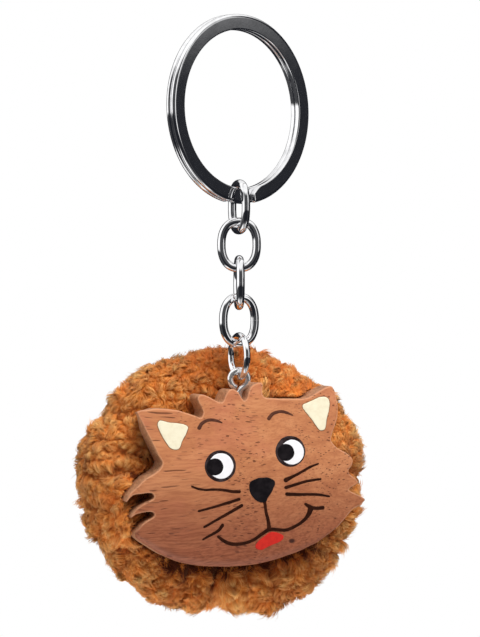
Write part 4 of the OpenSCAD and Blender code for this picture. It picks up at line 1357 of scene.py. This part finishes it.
def glue_drops():
    allp, allf = [], []
    base = 0
    for i, (x, z) in enumerate([(-13.4, -50.0), (12.6, -49.0), (16.3, -58.2), (-14.6, -67.9), (14.2, -66.6)]):
        nu, nv = 28, 16
        a = np.arange(nu) * TAU / nu
        t = np.linspace(0, 1, nv)
        A, T_ = np.meshgrid(a, t, indexing="ij")
        # a drop squeezed between the board (y 4) and the cloth: wide feet and a narrower waist
        r = 1.0 * (0.98 - 0.24 * np.sin(math.pi * T_)) * (1 + 0.12 * np.sin(2 * A + i) + 0.06 * np.sin(3 * A + 2 * i))
        y = 4.0 + 1.15 * T_
        pts = np.stack([x + r * np.cos(A), y, z + r * np.sin(A)], -1).reshape(-1, 3)
        f = []
        for u in range(nu):
            for v in range(nv - 1):
                u2 = (u + 1) % nu
                f.append((base + u * nv + v, base + u * nv + v + 1, base + u2 * nv + v + 1, base + u2 * nv + v))
        f.append(tuple(base + u * nv for u in range(nu)))
        f.append(tuple(base + u * nv + nv - 1 for u in reversed(range(nu))))
        allp.append(pts)
        allf += f
        base += len(pts)
    make_mesh("glue_drops", np.vstack(allp), allf, MAT_GLUE, "pendant", replaces=["glue_beads"])


# ---------------------------------------------------------------- build
split_ring()
h_link = (-80, -13, -98, 14)
for i in range(4):
    wire_loop(f"link_wire_{i + 1}", h_link[i], tops[i], LINK_L, LINK_W, WIRE, f"link_{i + 1}", f"chain_link_{i + 1}", square=2.35)
wire_loop("jump_ring_wire", -80, top_jump, JUMP_OD, JUMP_OD, JUMP_WIRE, "link_round", "jump_ring")
screw_eye()
wooden_head()
face_paint()
plush_ring()
stitches()
glue_drops()


# ---------------------------------------------------------------- surroundings
def area_light(name, loc, aim, size, watts, colour=(1, 1, 1)):
    data = bpy.data.lights.new(name, "AREA")
    data.shape = "DISK"
    data.size = size
    data.energy = watts
    data.color = colour
    ob = bpy.data.objects.new(name, data)
    scene.collection.objects.link(ob)
    ob.location = loc
    ob.rotation_mode = "QUATERNION"
    ob.rotation_quaternion = (Vector(aim) - Vector(loc)).to_track_quat("-Z", "Y")
    return ob


area_light("key", (0.03, -0.36, 0.34), (0, 0, -0.06), 0.30, 2.9, (1.0, 0.985, 0.96)).visible_glossy = False
area_light("bounce", (-0.05, -0.03, -0.30), (0, 0.01, -0.075), 0.26, 0.46, (1.0, 0.97, 0.93)).visible_glossy = False

world = bpy.data.worlds.new("studio")
scene.world = world
world.use_nodes = True
wt = world.node_tree
wt.nodes.clear()


class W(Nodes):
    def __init__(self, tree):
        self.nt = tree


w = W(wt)
tc = w.add("ShaderNodeTexCoord")
x, y, z = w.separate(tc.outputs["Generated"])[:3]
azi = w.math("MULTIPLY", w.math("ARCTAN2", x, w.math("MULTIPLY", y, -1.0)), 180 / math.pi)
ele = w.math("MULTIPLY", w.math("ARCSINE", z), 180 / math.pi)


def band(v, a0, a1, b0, b1):
    """1 between a1 and b0, falling to 0 at a0 and b1."""
    return w.math("MULTIPLY", w.map(v, a0, a1), w.map(v, b0, b1, 1.0, 0.0))


# what polished metal mirrors: white panels between dark stands
around = w.math("ADD", w.math("MULTIPLY", band(azi, -131, -121, -62, -50), 1.0), w.math("MULTIPLY", band(azi, 36, 42, 52, 60), 0.9))
around = w.math("ADD", around, w.math("MULTIPLY", band(azi, -50, -30, 20, 40), 0.045))
around = w.math("ADD", around, 0.008)
line = band(ele, -48, -36, -7, -2)
around = w.math("MULTIPLY", around, w.math("SUBTRACT", 1.0, w.math("MULTIPLY", line, 0.96)))
top = w.math("MULTIPLY", w.map(ele, 26, 44, 0.0, 0.95), w.map(w.math("ABSOLUTE", azi), 100, 150, 1.0, 0.85))
wall_top = w.math("MULTIPLY", w.map(ele, 4.5, 9.0, 0.0, 0.45), band(azi, 55, 66, 74, 79))
low = w.map(ele, -46, -60, 0.0, 0.35)
level = w.math("MAXIMUM", w.math("MAXIMUM", around, top), w.math("MAXIMUM", wall_top, low))
shiny = w.mix(level, (0.010, 0.011, 0.015), (1.0, 1.0, 1.0))
gloss = w.add("ShaderNodeBackground")
w.put(gloss.inputs["Color"], shiny)
gloss.inputs["Strength"].default_value = 1.15
# what lights the matt pieces: white all round and above, but dim where the onlooker stands
back = w.math("ADD", w.math("MULTIPLY", x, 0.225), w.math("MULTIPLY", y, 0.974))
lit = w.math("MAXIMUM", w.map(back, -0.40, 0.45, 0.30, 1.25), w.map(ele, -5, 55, 0.30, 1.05))
lit = w.math("MAXIMUM", lit, w.map(ele, -30, -62, 0.30, 1.35))
soft = w.add("ShaderNodeBackground")
soft.inputs["Color"].default_value = (1.0, 0.995, 0.99, 1)
w.put(soft.inputs["Strength"], w.math("MULTIPLY", lit, 0.80))
white = w.add("ShaderNodeBackground")
white.inputs["Color"].default_value = (1, 1, 1, 1)
lp = w.add("ShaderNodeLightPath")
mix1 = w.add("ShaderNodeMixShader")
w.link(lp.outputs["Is Glossy Ray"], mix1.inputs[0])
w.link(soft.outputs[0], mix1.inputs[1])
w.link(gloss.outputs[0], mix1.inputs[2])
mixs = w.add("ShaderNodeMixShader")
w.link(lp.outputs["Is Camera Ray"], mixs.inputs[0])
w.link(mix1.outputs[0], mixs.inputs[1])
w.link(white.outputs[0], mixs.inputs[2])
wo = w.add("ShaderNodeOutputWorld")
w.link(mixs.outputs[0], wo.inputs["Surface"])


def floor():
    m = Nodes("floor")
    p = m.mm()
    n = m.noise(p, 0.02, 3, 0.5).outputs[0]
    m.set(Base_Color=m.mix(n, (0.80, 0.80, 0.80), (0.86, 0.86, 0.86)), Roughness=0.7)
    k, rings = 96, 12
    verts = [(0, 0, -300.0)]
    faces = []
    for i in range(1, rings + 1):
        for j in range(k):
            a = TAU * j / k
            verts.append((800 * i / rings * math.cos(a), 800 * i / rings * math.sin(a), -300.0))
    for j in range(k):
        faces.append((0, 1 + j, 1 + (j + 1) % k))
    for i in range(1, rings):
        for j in range(k):
            a, b = 1 + (i - 1) * k, 1 + i * k
            faces.append((a + j, b + j, b + (j + 1) % k, a + (j + 1) % k))
    me = bpy.data.meshes.new("floor")
    me.from_pydata([tuple(c * MM for c in v) for v in verts], [], faces)
    me.update()
    ob = bpy.data.objects.new("floor", me)
    scene.collection.objects.link(ob)
    ob.data.materials.append(m.mat)
    ob.visible_glossy = False
    ob.visible_diffuse = False
    ob.visible_shadow = False


floor()
